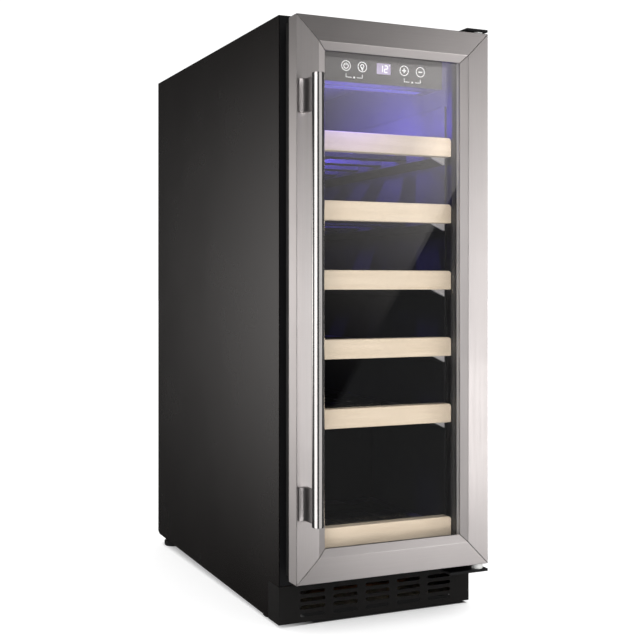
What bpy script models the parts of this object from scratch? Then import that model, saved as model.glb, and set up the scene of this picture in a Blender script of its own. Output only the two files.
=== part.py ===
"""Built-under wine cooler with a glazed door on its right-hand hinges, six beech-fronted shelves and a
compressor bay behind the step at the bottom of the cavity.

Frame: +Z up, the front faces -Y, the origin lies on the floor under the middle of the whole object.
Each piece is one object. Lengths are in metres, written as millimetres times MM.
"""

import math

import bmesh
import bpy
from mathutils import Matrix, Vector

MM = 0.001
GAP = 0.3 * MM  # clearance between pieces that rest on or in each other

# Cabinet
CABINET_WIDTH = 295 * MM
CABINET_HEIGHT = 805 * MM
CABINET_DEPTH = 520 * MM
SHEET = 1.0 * MM  # steel of the side, top and rear panels
SIDE_EDGE = (4 * MM, 16 * MM)  # height of the side panels' lower edge, front and rear
REAR_CORNER = 8 * MM  # cut off the side panels' lower rear corners
UNDERSIDE = 18 * MM  # underside of the base pan
REAR_COVER_RECESS = 16 * MM

# Cavity
CAVITY_WIDTH = 238 * MM
CAVITY_DEPTH = 452 * MM
CAVITY_FLOOR = 92 * MM
CAVITY_CEILING = CABINET_HEIGHT - 33 * MM
LINER_WALL = 2 * MM
LINER_FLANGE_BOTTOM = 55 * MM
STEP_DEPTH = 232 * MM  # from the cabinet front to the step over the compressor bay
STEP_TOP = 250 * MM
FOAM_UNDERSIDE = 60 * MM
FOAM_WALL = 26 * MM  # foam between the step and the compressor bay

# Plinth
PLINTH_TOP = 54 * MM
PLINTH_BOTTOM = 4 * MM
PLINTH_WALL = 1.2 * MM
PLINTH_RETURN = 35 * MM
SLOT_COLUMNS = 5
SLOT_ROWS = 4
SLOT_SIZE = (37 * MM, 5 * MM)
SLOT_PITCH = (49 * MM, 10 * MM)
SLOT_RISE = 9.5 * MM  # middle of the lowest row above the plinth's lower edge

# Door
DOOR_WIDTH = 290.5 * MM
DOOR_BOTTOM = 68 * MM
DOOR_TOP = CABINET_HEIGHT - 9 * MM
DOOR_GAP = 26.5 * MM  # from the cabinet front to the rear edge of the steel frame
DOOR_WRAP = 23.5 * MM  # depth of the steel frame's outer side
FRAME_FLAT = 32 * MM  # width of the flat face
FRAME_BORDER = 42.7 * MM  # outer edge to the glass
FRAME_BEVEL_DROP = 5 * MM
FRAME_SHEET = 1.2 * MM
GLASS = 4 * MM
GLASS_COVER = 12 * MM  # glass hidden behind the frame on each side
PANE_SPACE = 11 * MM
SPACER_WIDTH = 6 * MM
INNER_FRAME_REAR = 9 * MM  # rear face of the inner frame, from the cabinet front
INNER_FRAME_INSET = 4 * MM
INNER_LIP = 3 * MM  # how far the inner frame covers the inner pane
GASKET_INSET = 10 * MM
GASKET_WIDTH = 16 * MM

# Handle
HANDLE_RADIUS = 8 * MM
HANDLE_LENGTH = 566 * MM
HANDLE_STANDOFF = 36 * MM  # door face to the bar's axis
HANDLE_INSET = 13 * MM  # door's left edge to the bar's axis
BRACKET_HEIGHT = 43 * MM
BRACKET_END = 2 * MM  # bar left over beyond each bracket
BRACKET_FOOT = (2.2 * MM, 3.5 * MM)  # inset from the door's edge, thickness
BRACKET_LEG = 5 * MM
BRACKET_FILLET = 6 * MM

# Hinges
HINGE_INSET = 10 * MM  # pin axis to the door's right edge
HINGE_PIN_DEPTH = 38 * MM  # cabinet front to the pin axis
HINGE_PLATE = 3.5 * MM
HINGE_REACH = 47 * MM
HINGE_CLEARANCE = {"lower": 8 * MM, "upper": 3 * MM}  # door edge to the plate
UPPER_HINGE_WIDTH = 34 * MM
LOWER_HINGE_WIDTH = 61 * MM
HINGE_LEG = 13 * MM
PIN_RADIUS = 3 * MM
BUSH_WALL = 2.2 * MM
BUSH_FLANGE = 8 * MM
BUSH_LENGTH = 14 * MM

# Shelves
SHELF_PITCH = 93.3 * MM
SHELF_DROP = 90 * MM  # control box to the underside of the top shelf's fascia
LOW_SHELF = CAVITY_FLOOR + 7 * MM
FULL_SHELVES = 5
FASCIA_CLEARANCE = 1.2 * MM  # to each cavity wall
FASCIA_WIDTH = CAVITY_WIDTH - 2 * FASCIA_CLEARANCE
FASCIA_HEIGHT = 26.5 * MM
FASCIA_DEPTH = 16 * MM
FASCIA_SETBACK = 2 * MM  # behind the cabinet front
FASCIA_CORNER = 5 * MM
RACK_RISE = 4 * MM  # rack underside above the fascia's underside
RACK_HEIGHT = 9 * MM
RACK_CLEARANCE = 4 * MM
RACK_WIDTH = CAVITY_WIDTH - 2 * RACK_CLEARANCE
COVER_FRONT = CAVITY_DEPTH - 28 * MM  # of the evaporator's air cover
RACK_END = COVER_FRONT - 10 * MM
LOW_RACK_END = STEP_DEPTH - 5 * MM
RUNNER_WIDTH = 17 * MM
SLAT_WIDTH = 26 * MM
BOTTLE_PITCH = 68.5 * MM
CRADLE_RADIUS = 41 * MM
CRADLE_DEPTH = 4 * MM
LEDGE_REACH = 21 * MM  # from the cavity wall
LEDGE_ROOT = 13.5 * MM
LEDGE_TIP = 4.5 * MM
LEDGE_END = COVER_FRONT - 4 * MM
LOW_LEDGE_END = STEP_DEPTH - 4 * MM
RAIL_PANEL = 1.5 * MM

# Air circulation
FAN_SIZE = 92 * MM
FAN_DEPTH = 20 * MM
FAN_BORE = 42 * MM
FAN_HUB = 17 * MM
FAN_BLADES = 7
FAN_STRUT = 3 * MM
FAN_HEIGHT = 372 * MM
COVER_WALL = 2.5 * MM
COVER_WIDTH = 190 * MM
COVER_RANGE = (STEP_TOP + 12 * MM, CAVITY_CEILING - 8 * MM)
EVAPORATOR = (150 * MM, 2.5 * MM, 250 * MM)

# Controls and light
CONTROL_WIDTH = 184 * MM
CONTROL_TOP = CAVITY_CEILING - 11 * MM
CONTROL_BOTTOM = CONTROL_TOP - 40 * MM
TOP_SHELF = CONTROL_BOTTOM - SHELF_DROP
CONTROL_FRONT = -14 * MM  # in front of the cabinet, inside the door's inner frame
CONTROL_REAR = 38 * MM
CONTROL_WALL = 2 * MM
FASCIA_PLATE = 2.5 * MM
DISPLAY_SIZE = (22 * MM, 15 * MM, 6 * MM)
KEY_HEIGHT = 21.5 * MM  # keys and display above the fascia's lower edge
LENS_SIZE = (150 * MM, 14 * MM, 3.5 * MM)
LENS_SETBACK = 14 * MM

# Compressor bay
PAN_SHEET = 1.5 * MM
PAN_FLANGE = 15 * MM
COMPRESSOR_RADIUS = 76 * MM
COMPRESSOR_HEIGHT = 150 * MM
COMPRESSOR_PLACE = (-52 * MM, 398 * MM)
MOUNT_PLATE = (176 * MM, 120 * MM, 2.5 * MM)
MOUNT_RISE = 12 * MM
TRAY_SIZE = (120 * MM, 110 * MM, 14 * MM)
TRAY_WALL = 2 * MM
COIL_RADIUS = 3 * MM
COIL_RUNS = 7
COIL_RUN_LENGTH = 180 * MM
COIL_PITCH = 26 * MM
COIL_START = 62 * MM
CONDENSER_FAN_PLACE = (78 * MM, STEP_DEPTH + 52 * MM)
POWER_BOX = (72 * MM, 60 * MM, 70 * MM)
POWER_BOX_PLACE = (74 * MM, 440 * MM)
GLAND_RADIUS = 9 * MM
GLAND_LENGTH = 12 * MM
GLAND_PLACE = (100 * MM, 60 * MM)

# Feet
FOOT_RADIUS = 14 * MM
FOOT_PAD = 10 * MM
STUD_RADIUS = 4 * MM
STUD_TOP = 48 * MM
FOOT_INSET = 16.5 * MM
FOOT_PLACES = {"front": 56 * MM, "rear": CABINET_DEPTH - 30 * MM}

# Places worked out from the sizes above
HALF = CABINET_WIDTH / 2
DOOR_HALF = DOOR_WIDTH / 2
DOOR_FACE = -(DOOR_GAP + DOOR_WRAP)
FRONT_PROJECTION = -DOOR_FACE + HANDLE_STANDOFF + HANDLE_RADIUS
FRONT = (CABINET_DEPTH + FRONT_PROJECTION) / 2 - CABINET_DEPTH  # world Y of the cabinet front
PIN_X = DOOR_HALF - HINGE_INSET
PIN_Y = -HINGE_PIN_DEPTH
DOOR_AXIS = (PIN_X, PIN_Y, 0)  # the origin of every piece of the door
HANDLE_X = -DOOR_HALF + HANDLE_INSET
PAN_TOP = UNDERSIDE + PAN_SHEET
PAN_HALF = HALF - PLINTH_WALL - GAP
BAY_FRONT = STEP_DEPTH + LINER_WALL + FOAM_WALL
BAY_TOP = STEP_TOP - LINER_WALL - FOAM_WALL
GLASS_FRONT = DOOR_FACE + FRAME_BEVEL_DROP + FRAME_SHEET + GAP
GLASS_INSET = FRAME_BORDER - GLASS_COVER
INNER_GLASS_FRONT = GLASS_FRONT + GLASS + PANE_SPACE + 2 * GAP

MATERIALS = {
    "black_steel": ((0.012, 0.012, 0.012, 1), 0.35, 0.0),
    "galvanised_steel": ((0.45, 0.46, 0.47, 1), 0.45, 1.0),
    "brushed_stainless": ((0.60, 0.58, 0.57, 1), 0.30, 1.0),
    "polished_steel": ((0.78, 0.77, 0.76, 1), 0.08, 1.0),
    "black_plastic": ((0.010, 0.010, 0.011, 1), 0.40, 0.0),
    "grey_plastic": ((0.28, 0.28, 0.29, 1), 0.45, 0.0),
    "clear_glass": ((0.85, 0.88, 0.88, 0.25), 0.03, 0.0),
    "beech": ((0.72, 0.56, 0.38, 1), 0.55, 0.0),
    "foam": ((0.80, 0.72, 0.50, 1), 0.90, 0.0),
    "rubber": ((0.015, 0.015, 0.015, 1), 0.75, 0.0),
    "aluminium": ((0.62, 0.63, 0.64, 1), 0.40, 1.0),
    "control_gloss": ((0.020, 0.020, 0.024, 1), 0.10, 0.0),
    "blue_display": ((0.25, 0.22, 0.90, 1), 0.20, 0.0),
    "light_lens": ((0.55, 0.55, 0.95, 1), 0.30, 0.0),
    "copper": ((0.72, 0.42, 0.28, 1), 0.35, 1.0),
    "white_nylon": ((0.85, 0.85, 0.83, 1), 0.50, 0.0),
}


def material(name):
    """The named material, made when it is first asked for."""
    if name in bpy.data.materials:
        return bpy.data.materials[name]
    colour, roughness, metallic = MATERIALS[name]
    made = bpy.data.materials.new(name)
    made.use_nodes = True
    shader = made.node_tree.nodes["Principled BSDF"]
    shader.inputs["Base Color"].default_value = colour
    shader.inputs["Roughness"].default_value = roughness
    shader.inputs["Metallic"].default_value = metallic
    shader.inputs["Alpha"].default_value = colour[3]
    return made


def make_object(name, bm, finish, origin=(0, 0, 0), smooth=False):
    """An object from a bmesh given in cabinet coordinates, where y is 0 at the cabinet front.

    origin, in the same coordinates, becomes the object's own origin.
    """
    bmesh.ops.recalc_face_normals(bm, faces=bm.faces)
    start = Vector(origin)
    bmesh.ops.translate(bm, vec=-start, verts=bm.verts)
    mesh = bpy.data.meshes.new(name)
    bm.to_mesh(mesh)
    bm.free()
    if finish:
        mesh.materials.append(material(finish))
    if smooth:
        mesh.shade_smooth()
        mesh.set_sharp_from_angle(angle=math.radians(35))
    made = bpy.data.objects.new(name, mesh)
    made.location = start + Vector((0, FRONT, 0))
    bpy.context.scene.collection.objects.link(made)
    return made


def add_prism(bm, outline, axis, low, high):
    """Adds an outline extruded along X, Y or Z. Its points are the two other coordinates in order."""
    place = {
        "X": lambda p, at: (at, p[0], p[1]),
        "Y": lambda p, at: (p[0], at, p[1]),
        "Z": lambda p, at: (p[0], p[1], at),
    }[axis]
    face = bm.faces.new([bm.verts.new(place(p, low)) for p in outline])
    grown = bmesh.ops.extrude_face_region(bm, geom=[face])["geom"]
    moved = [v for v in grown if isinstance(v, bmesh.types.BMVert)]
    bmesh.ops.translate(bm, vec=Vector(place((0, 0), high - low)), verts=moved)


def add_box(bm, x, y, z):
    """Adds a box given its (low, high) pair along each axis."""
    add_prism(bm, [(x[0], y[0]), (x[1], y[0]), (x[1], y[1]), (x[0], y[1])], "Z", *z)


def box(name, x, y, z, finish, origin=(0, 0, 0)):
    bm = bmesh.new()
    add_box(bm, x, y, z)
    return make_object(name, bm, finish, origin)


def prism(name, outline, axis, low, high, finish, origin=(0, 0, 0)):
    bm = bmesh.new()
    add_prism(bm, outline, axis, low, high)
    return make_object(name, bm, finish, origin)


def circle(centre, radius, segments, start=0.0, sweep=math.tau):
    """Points round an arc. A full circle leaves out its repeated last point."""
    count = segments if sweep == math.tau else segments + 1
    angles = [start + sweep * i / segments for i in range(count)]
    return [(centre[0] + radius * math.cos(a), centre[1] + radius * math.sin(a)) for a in angles]


def turned(name, profile, place, axis, finish, segments=24, origin=(0, 0, 0)):
    """A solid of revolution. profile holds (radius, height) from one end of the axis to the other."""
    bm = bmesh.new()
    rings = []
    for radius, height in profile:
        if axis == "Z":
            ring = [(x, y, height) for x, y in circle(place, radius, segments)]
        else:
            ring = [(x, height, z) for x, z in circle(place, radius, segments)]
        rings.append([bm.verts.new(p) for p in ring])
    for low, high in zip(rings, rings[1:]):
        for i in range(segments):
            j = (i + 1) % segments
            bm.faces.new((low[i], low[j], high[j], high[i]))
    bm.faces.new(rings[0])
    bm.faces.new(rings[-1])
    return make_object(name, bm, finish, origin, smooth=True)


def combine(target, operation, tool):
    """Applies a Boolean of the tool to the target and removes the tool."""
    modifier = target.modifiers.new(operation.lower(), "BOOLEAN")
    modifier.operation = operation
    modifier.solver = "EXACT"
    modifier.object = tool
    with bpy.context.temp_override(object=target, active_object=target):
        bpy.ops.object.modifier_apply(modifier=modifier.name)
    bpy.data.objects.remove(tool)
    return target


def cut_prisms(target, prisms):
    """Cuts any number of separate prisms, each (outline, axis, low, high)."""
    bm = bmesh.new()
    for outline, axis, low, high in prisms:
        add_prism(bm, outline, axis, low, high)
    return combine(target, "DIFFERENCE", make_object("cutter", bm, None))


def rectangle(low_x, high_x, low_y, high_y):
    return [(low_x, low_y), (high_x, low_y), (high_x, high_y), (low_x, high_y)]


def slot_outline(centre, length, height):
    """A horizontal slot with round ends."""
    half, radius = length / 2 - height / 2, height / 2
    right = circle((centre[0] + half, centre[1]), radius, 4, -math.pi / 2, math.pi)
    left = circle((centre[0] - half, centre[1]), radius, 4, math.pi / 2, math.pi)
    return right + left


# Cabinet


def build_side_panel(name, side):
    """Steel side, notched for the plinth's side return, its lower edge rising towards the rear."""
    outer, inner = sorted((side * HALF, side * (HALF - SHEET)))
    seam = PLINTH_RETURN + GAP
    front, rear = SIDE_EDGE
    slope = (rear - front) / CABINET_DEPTH
    corner = CABINET_DEPTH - REAR_CORNER
    outline = [
        (0, PLINTH_TOP + GAP),
        (seam, PLINTH_TOP + GAP),
        (seam, front + slope * seam),
        (corner, front + slope * corner),
        (CABINET_DEPTH, rear + REAR_CORNER / 2),
        (CABINET_DEPTH, CABINET_HEIGHT),
        (0, CABINET_HEIGHT),
    ]
    return prism(name, outline, "X", outer, inner, "black_steel")


def build_top_panel():
    half = HALF - SHEET - GAP
    height = (CABINET_HEIGHT - SHEET, CABINET_HEIGHT)
    return box("top_panel", (-half, half), (0, CABINET_DEPTH), height, "black_steel")


def build_rear_panel():
    half = HALF - SHEET - GAP
    back = CABINET_DEPTH - GAP
    height = (BAY_TOP, CABINET_HEIGHT - SHEET - GAP)
    return box("rear_panel", (-half, half), (back - SHEET, back), height, "galvanised_steel")


def build_compressor_cover():
    """Louvred cover of the compressor bay, set into the back, with a hole for the mains gland."""
    half = PAN_HALF - PAN_SHEET - GAP
    rear = CABINET_DEPTH - REAR_COVER_RECESS
    cover = box(
        "compressor_cover",
        (-half, half),
        (rear - PAN_SHEET, rear),
        (PAN_TOP + GAP, BAY_TOP - GAP),
        "galvanised_steel",
    )
    louvres = []
    for row in range(6):
        for side in (-1, 1):
            centre = (side * 62 * MM, 106 * MM + row * 18 * MM)
            louvres.append((slot_outline(centre, 78 * MM, 6 * MM), "Y", rear - 9 * MM, rear + 9 * MM))
    gland = circle(GLAND_PLACE, GLAND_RADIUS - 3 * MM + GAP, 16)
    louvres.append((gland, "Y", rear - 9 * MM, rear + 9 * MM))
    return cut_prisms(cover, louvres)


def cavity_outline(front, grow):
    """Side profile of the cavity with its step, grown outwards all round but for its open front."""
    floor, ceiling = CAVITY_FLOOR - grow, CAVITY_CEILING + grow
    back = CAVITY_DEPTH + grow
    step, step_top = STEP_DEPTH + grow, STEP_TOP - grow
    return [
        (front, floor),
        (step, floor),
        (step, step_top),
        (back, step_top),
        (back, ceiling),
        (front, ceiling),
    ]


def build_foam():
    """Foamed-in insulation round the liner, with the compressor bay left free under its step."""
    half = HALF - SHEET - GAP
    back = CABINET_DEPTH - SHEET - 2 * GAP
    top = CABINET_HEIGHT - SHEET - GAP
    front = LINER_WALL + GAP
    outline = [
        (front, FOAM_UNDERSIDE),
        (BAY_FRONT, FOAM_UNDERSIDE),
        (BAY_FRONT, BAY_TOP),
        (back, BAY_TOP),
        (back, top),
        (front, top),
    ]
    foam = prism("insulation_foam", outline, "X", -half, half, "foam")
    wall = LINER_WALL + GAP
    side = CAVITY_WIDTH / 2 + wall
    return cut_prisms(foam, [(cavity_outline(-wall, wall), "X", -side, side)])


def build_liner():
    """Vacuum-formed liner: a flange that the door seals against and the cavity behind it."""
    half = HALF - SHEET - GAP
    liner = box(
        "inner_liner",
        (-half, half),
        (0, LINER_WALL),
        (LINER_FLANGE_BOTTOM, CABINET_HEIGHT - SHEET - GAP),
        "black_plastic",
    )
    side = CAVITY_WIDTH / 2
    outer = side + LINER_WALL
    outline = cavity_outline(LINER_WALL / 2, LINER_WALL)
    shell = prism("shell", outline, "X", -outer, outer, None)
    combine(liner, "UNION", shell)
    return cut_prisms(liner, [(cavity_outline(-LINER_WALL, 0), "X", -side, side)])


def build_plinth():
    """Kick plate with side returns and rows of air slots."""
    inner = HALF - PLINTH_WALL
    outline = [
        (-HALF, 0),
        (HALF, 0),
        (HALF, PLINTH_RETURN),
        (inner, PLINTH_RETURN),
        (inner, PLINTH_WALL),
        (-inner, PLINTH_WALL),
        (-inner, PLINTH_RETURN),
        (-HALF, PLINTH_RETURN),
    ]
    plinth = prism("plinth_grille", outline, "Z", PLINTH_BOTTOM, PLINTH_TOP, "black_steel")
    slots = []
    for column in range(SLOT_COLUMNS):
        for row in range(SLOT_ROWS):
            centre = (
                (column - (SLOT_COLUMNS - 1) / 2) * SLOT_PITCH[0],
                PLINTH_BOTTOM + SLOT_RISE + row * SLOT_PITCH[1],
            )
            reach = PLINTH_WALL + SLOT_SIZE[1]
            slots.append((slot_outline(centre, *SLOT_SIZE), "Y", -reach, reach))
    return cut_prisms(plinth, slots)


def build_base_pan():
    """Folded tray that closes the underside, with clearance holes for the feet."""
    half = PAN_HALF
    edge = half - PAN_SHEET
    outline = [
        (-half, UNDERSIDE),
        (half, UNDERSIDE),
        (half, UNDERSIDE + PAN_FLANGE),
        (edge, UNDERSIDE + PAN_FLANGE),
        (edge, PAN_TOP),
        (-edge, PAN_TOP),
        (-edge, UNDERSIDE + PAN_FLANGE),
        (-half, UNDERSIDE + PAN_FLANGE),
    ]
    pan = prism("base_pan", outline, "Y", PLINTH_WALL + GAP, CABINET_DEPTH - 2 * MM, "galvanised_steel")
    through = (UNDERSIDE - PAN_SHEET, PAN_TOP + PAN_SHEET)
    holes = [(circle(place, STUD_RADIUS + GAP, 16), "Z", *through) for place in foot_places().values()]
    return cut_prisms(pan, holes)


def foot_places():
    """Where the four levelling feet stand, as name: (x, y)."""
    x = HALF - FOOT_INSET
    places = {}
    for end, y in FOOT_PLACES.items():
        places[f"{end}_left_foot"] = (-x, y)
        places[f"{end}_right_foot"] = (x, y)
    return places


def build_feet():
    """Screw-in levelling feet, each a pad on a threaded stud."""
    for name, place in foot_places().items():
        edge = 1.5 * MM
        profile = [
            (FOOT_RADIUS - edge, 0),
            (FOOT_RADIUS, edge),
            (FOOT_RADIUS, FOOT_PAD - edge),
            (FOOT_RADIUS - 2 * edge, FOOT_PAD),
            (STUD_RADIUS, FOOT_PAD),
            (STUD_RADIUS, STUD_TOP),
        ]
        turned(name, profile, place, "Z", "rubber", 16, (*place, 0))


# Cavity fittings


def shelf_undersides():
    """Height of each fascia's underside, from the top shelf down."""
    full = [TOP_SHELF - i * SHELF_PITCH for i in range(FULL_SHELVES)]
    return full + [LOW_SHELF]


def build_rail_panel(name, side):
    """Panel on the cavity's side wall with a moulded ledge under each shelf."""
    wall = CAVITY_WIDTH / 2 - GAP
    face = wall - RAIL_PANEL
    tip = CAVITY_WIDTH / 2 - LEDGE_REACH
    outline = [(wall, COVER_RANGE[1] - 60 * MM), (wall, CAVITY_FLOOR + GAP), (face, CAVITY_FLOOR + GAP)]
    for underside in reversed(shelf_undersides()):
        top = underside + RACK_RISE - GAP
        if top - LEDGE_ROOT > CAVITY_FLOOR + GAP:
            outline.append((face, top - LEDGE_ROOT))
            outline.append((tip, top - LEDGE_TIP))
        else:
            outline[-1] = (tip, CAVITY_FLOOR + GAP)
        outline.append((tip, top))
        outline.append((face, top))
    outline.append((face, COVER_RANGE[1] - 60 * MM))
    start = FASCIA_SETBACK + FASCIA_DEPTH + GAP
    mirrored = [(side * x, z) for x, z in outline]
    panel = prism(name, mirrored, "Y", start, LEDGE_END, "grey_plastic")
    clear = rectangle(LOW_LEDGE_END, LEDGE_END + PAN_FLANGE, 0, STEP_TOP + GAP)
    return cut_prisms(panel, [(clear, "X", -HALF, HALF)])


def build_shelf(number, underside, rack_end):
    """A shelf: the beech fascia that shows at the front, and the black slatted rack behind it."""
    half, corner = FASCIA_WIDTH / 2, FASCIA_CORNER
    top = underside + FASCIA_HEIGHT
    outline = [(-half, underside), (half, underside)]
    outline += circle((half - corner, top - corner), corner, 4, 0, math.pi / 2)
    outline += circle((-half + corner, top - corner), corner, 4, math.pi / 2, math.pi / 2)
    back = FASCIA_SETBACK + FASCIA_DEPTH
    place = (0, FASCIA_SETBACK, underside)
    prism(f"shelf_{number}_fascia", outline, "Y", FASCIA_SETBACK, back, "beech", place)

    half, inner = RACK_WIDTH / 2, RACK_WIDTH / 2 - RUNNER_WIDTH
    low = underside + RACK_RISE
    high = low + RACK_HEIGHT
    start = back + GAP
    depth = (start, rack_end)
    rack = box(f"shelf_{number}_rack", (-half, half), depth, (low, high), "black_steel", place)
    length = rack_end - start
    bays = round((length - SLAT_WIDTH) / (75 * MM))
    pitch = (length - SLAT_WIDTH) / bays
    windows = []
    for bay in range(bays):
        y = start + SLAT_WIDTH + bay * pitch
        window = rectangle(-inner, inner, y, y + pitch - SLAT_WIDTH)
        windows.append((window, "Z", low - RACK_HEIGHT, high + RACK_HEIGHT))
    cut_prisms(rack, windows)
    sweep = 2 * math.acos(1 - CRADLE_DEPTH / CRADLE_RADIUS)
    cradles = []
    for bottle in (-1, 0, 1):
        centre = (bottle * BOTTLE_PITCH, high - CRADLE_DEPTH + CRADLE_RADIUS)
        arc = circle(centre, CRADLE_RADIUS, 5, -math.pi / 2 - sweep / 2, sweep)
        lid = [(arc[-1][0], high + CRADLE_DEPTH), (arc[0][0], high + CRADLE_DEPTH)]
        cradles.append((arc + lid, "Y", start - CRADLE_DEPTH, rack_end + CRADLE_DEPTH))
    return cut_prisms(rack, cradles)


def build_evaporator():
    """Air duct on the rear wall of the cavity and the evaporator plate behind it."""
    half, (low, high) = COVER_WIDTH / 2, COVER_RANGE
    back = CAVITY_DEPTH - GAP
    cover = box("evaporator_cover", (-half, half), (COVER_FRONT, back), (low, high), "black_plastic")
    inner = rectangle(-half + COVER_WALL, half - COVER_WALL, low + COVER_WALL, high - COVER_WALL)
    hollow = [(inner, "Y", COVER_FRONT + COVER_WALL, back + COVER_WALL)]
    cut_prisms(cover, hollow)
    slots = []
    through = (COVER_FRONT - COVER_WALL, COVER_FRONT + 2 * COVER_WALL)
    for row in range(-4, 5):
        z = row * 9 * MM
        width = 2 * math.sqrt((FAN_BORE - 2 * MM) ** 2 - z**2)
        slots.append((slot_outline((0, FAN_HEIGHT + z), width, 5 * MM), "Y", *through))
    for row in range(4):
        centre = (0, high - 30 * MM - row * 12 * MM)
        slots.append((slot_outline(centre, 120 * MM, 5 * MM), "Y", *through))
    cut_prisms(cover, slots)

    width, thick, tall = EVAPORATOR
    top = high - 22 * MM
    height = (top - tall, top)
    box("evaporator_plate", (-width / 2, width / 2), (back - thick, back), height, "aluminium")


def build_fan(prefix, x, front, z):
    """An axial fan on the Y axis: square frame with a motor spider at the back, and its rotor."""
    half = FAN_SIZE / 2
    back = front + FAN_DEPTH
    outline = rectangle(x - half, x + half, z - half, z + half)
    frame = prism(f"{prefix}_fan_frame", outline, "Y", front, back, "black_plastic")
    cut_prisms(frame, [(circle((x, z), FAN_BORE, 24), "Y", front - FAN_STRUT, back + FAN_STRUT)])
    arm, reach = FAN_STRUT, half - FAN_STRUT
    cross = [
        (x - arm, z - reach),
        (x + arm, z - reach),
        (x + arm, z - arm),
        (x + reach, z - arm),
        (x + reach, z + arm),
        (x + arm, z + arm),
        (x + arm, z + reach),
        (x - arm, z + reach),
        (x - arm, z + arm),
        (x - reach, z + arm),
        (x - reach, z - arm),
        (x - arm, z - arm),
    ]
    spider_front = back - FAN_STRUT
    combine(frame, "UNION", prism("spider", cross, "Y", spider_front, back - GAP, None))
    seat = circle((x, z), FAN_HUB, 16)
    combine(frame, "UNION", prism("seat", seat, "Y", spider_front, back - GAP / 2, None))

    rotor_front, rotor_back = front + FAN_STRUT, spider_front - GAP
    centre = Vector((x, (rotor_front + rotor_back) / 2, z))
    hub = circle((x, z), FAN_HUB, 16)
    rotor = prism(f"{prefix}_fan_rotor", hub, "Y", rotor_front, rotor_back, "black_plastic", centre)
    bm = bmesh.new()
    tip = FAN_BORE - 1.5 * MM
    for blade in range(FAN_BLADES):
        made = bmesh.ops.create_cube(bm, size=1)["verts"]
        root = FAN_HUB - 3 * MM
        bmesh.ops.scale(bm, vec=(tip - root, 1.6 * MM, 15 * MM), verts=made)
        bmesh.ops.translate(bm, vec=((tip + root) / 2, 0, 0), verts=made)
        pitch = Matrix.Rotation(math.radians(52), 4, "X")
        turn = Matrix.Rotation(math.tau * blade / FAN_BLADES, 4, "Y")
        bmesh.ops.transform(bm, matrix=Matrix.Translation(centre) @ turn @ pitch, verts=made)
    return combine(rotor, "UNION", make_object("blades", bm, None))


def build_controls():
    """Control box under the cavity's ceiling: glossy fascia, display, housing and light lens."""
    half = CONTROL_WIDTH / 2
    low, high = CONTROL_BOTTOM, CONTROL_TOP
    plate_back = CONTROL_FRONT + FASCIA_PLATE
    depth = (CONTROL_FRONT, plate_back)
    fascia = box("control_fascia", (-half, half), depth, (low, high), "control_gloss")
    width, tall, deep = DISPLAY_SIZE
    z = low + KEY_HEIGHT
    window = rectangle(-width / 2, width / 2, z - tall / 2, z + tall / 2)
    cut_prisms(fascia, [(window, "Y", CONTROL_FRONT - FASCIA_PLATE, plate_back + FASCIA_PLATE)])
    box(
        "display_module",
        (-width / 2 + GAP, width / 2 - GAP),
        (CONTROL_FRONT + GAP, CONTROL_FRONT + deep),
        (z - tall / 2 + GAP, z + tall / 2 - GAP),
        "blue_display",
    )
    start = plate_back + GAP
    top = CAVITY_CEILING - GAP
    wall = CONTROL_WALL
    side = [
        (start, low),
        (CONTROL_REAR, low),
        (CONTROL_REAR, top),
        (LINER_WALL, top),
        (LINER_WALL, high),
        (start, high),
    ]
    housing = prism("control_housing", side, "X", -half, half, "black_plastic")
    inner = rectangle(-half + wall, half - wall, low + wall, top + wall)
    cut_prisms(housing, [(inner, "Y", start - wall, CONTROL_REAR - wall)])
    length, depth, thick = LENS_SIZE
    opening = rectangle(-length / 2, length / 2, LENS_SETBACK, LENS_SETBACK + depth)
    cut_prisms(housing, [(opening, "Z", low - wall, low + 2 * wall)])
    box(
        "light_lens",
        (-length / 2 + GAP, length / 2 - GAP),
        (LENS_SETBACK + GAP, LENS_SETBACK + depth - GAP),
        (low - 1 * MM, low - 1 * MM + thick),
        "light_lens",
    )


# Door


def door_corners(inset):
    """The door's four corners moved inwards, as (x, z), from the lower left one anticlockwise."""
    half = DOOR_HALF - inset
    low, high = DOOR_BOTTOM + inset, DOOR_TOP - inset
    return [(-half, low), (half, low), (half, high), (-half, high)]


def build_ring(name, profile, finish):
    """A closed frame with the given section, whose points are (inset from the door's edge, y)."""
    bm = bmesh.new()
    loops = []
    for inset, y in profile:
        loops.append([bm.verts.new((x, y, z)) for x, z in door_corners(inset)])
    for a, b in zip(loops, loops[1:] + loops[:1]):
        for i in range(4):
            j = (i + 1) % 4
            bm.faces.new((a[i], a[j], b[j], b[i]))
    return make_object(name, bm, finish, DOOR_AXIS)


def build_frame_member(name, corner):
    """One mitred length of the steel frame, from the given corner to the next one round the door."""
    drop, sheet = FRAME_BEVEL_DROP, FRAME_SHEET
    face, wrap = DOOR_FACE, -DOOR_GAP
    section = [
        (0, wrap),
        (0, face),
        (FRAME_FLAT, face),
        (FRAME_BORDER, face + drop),
        (FRAME_BORDER, face + drop + sheet),
        (FRAME_FLAT, face + sheet),
        (sheet, face + sheet),
        (sheet, wrap),
    ]
    bm = bmesh.new()
    ends = []
    for at, other in ((corner, (corner + 1) % 4), ((corner + 1) % 4, corner)):
        ring = []
        for inset, y in section:
            x, z = door_corners(inset)[at]
            far_x, far_z = door_corners(inset)[other]
            along = Vector((far_x - x, 0, far_z - z)).normalized() * GAP / 2
            ring.append(bm.verts.new(Vector((x, y, z)) + along))
        ends.append(ring)
    first, last = ends
    count = len(section)
    for i in range(count):
        j = (i + 1) % count
        bm.faces.new((first[i], first[j], last[j], last[i]))
    bm.faces.new(first)
    bm.faces.new(last)
    return make_object(name, bm, "brushed_stainless", DOOR_AXIS)


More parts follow.
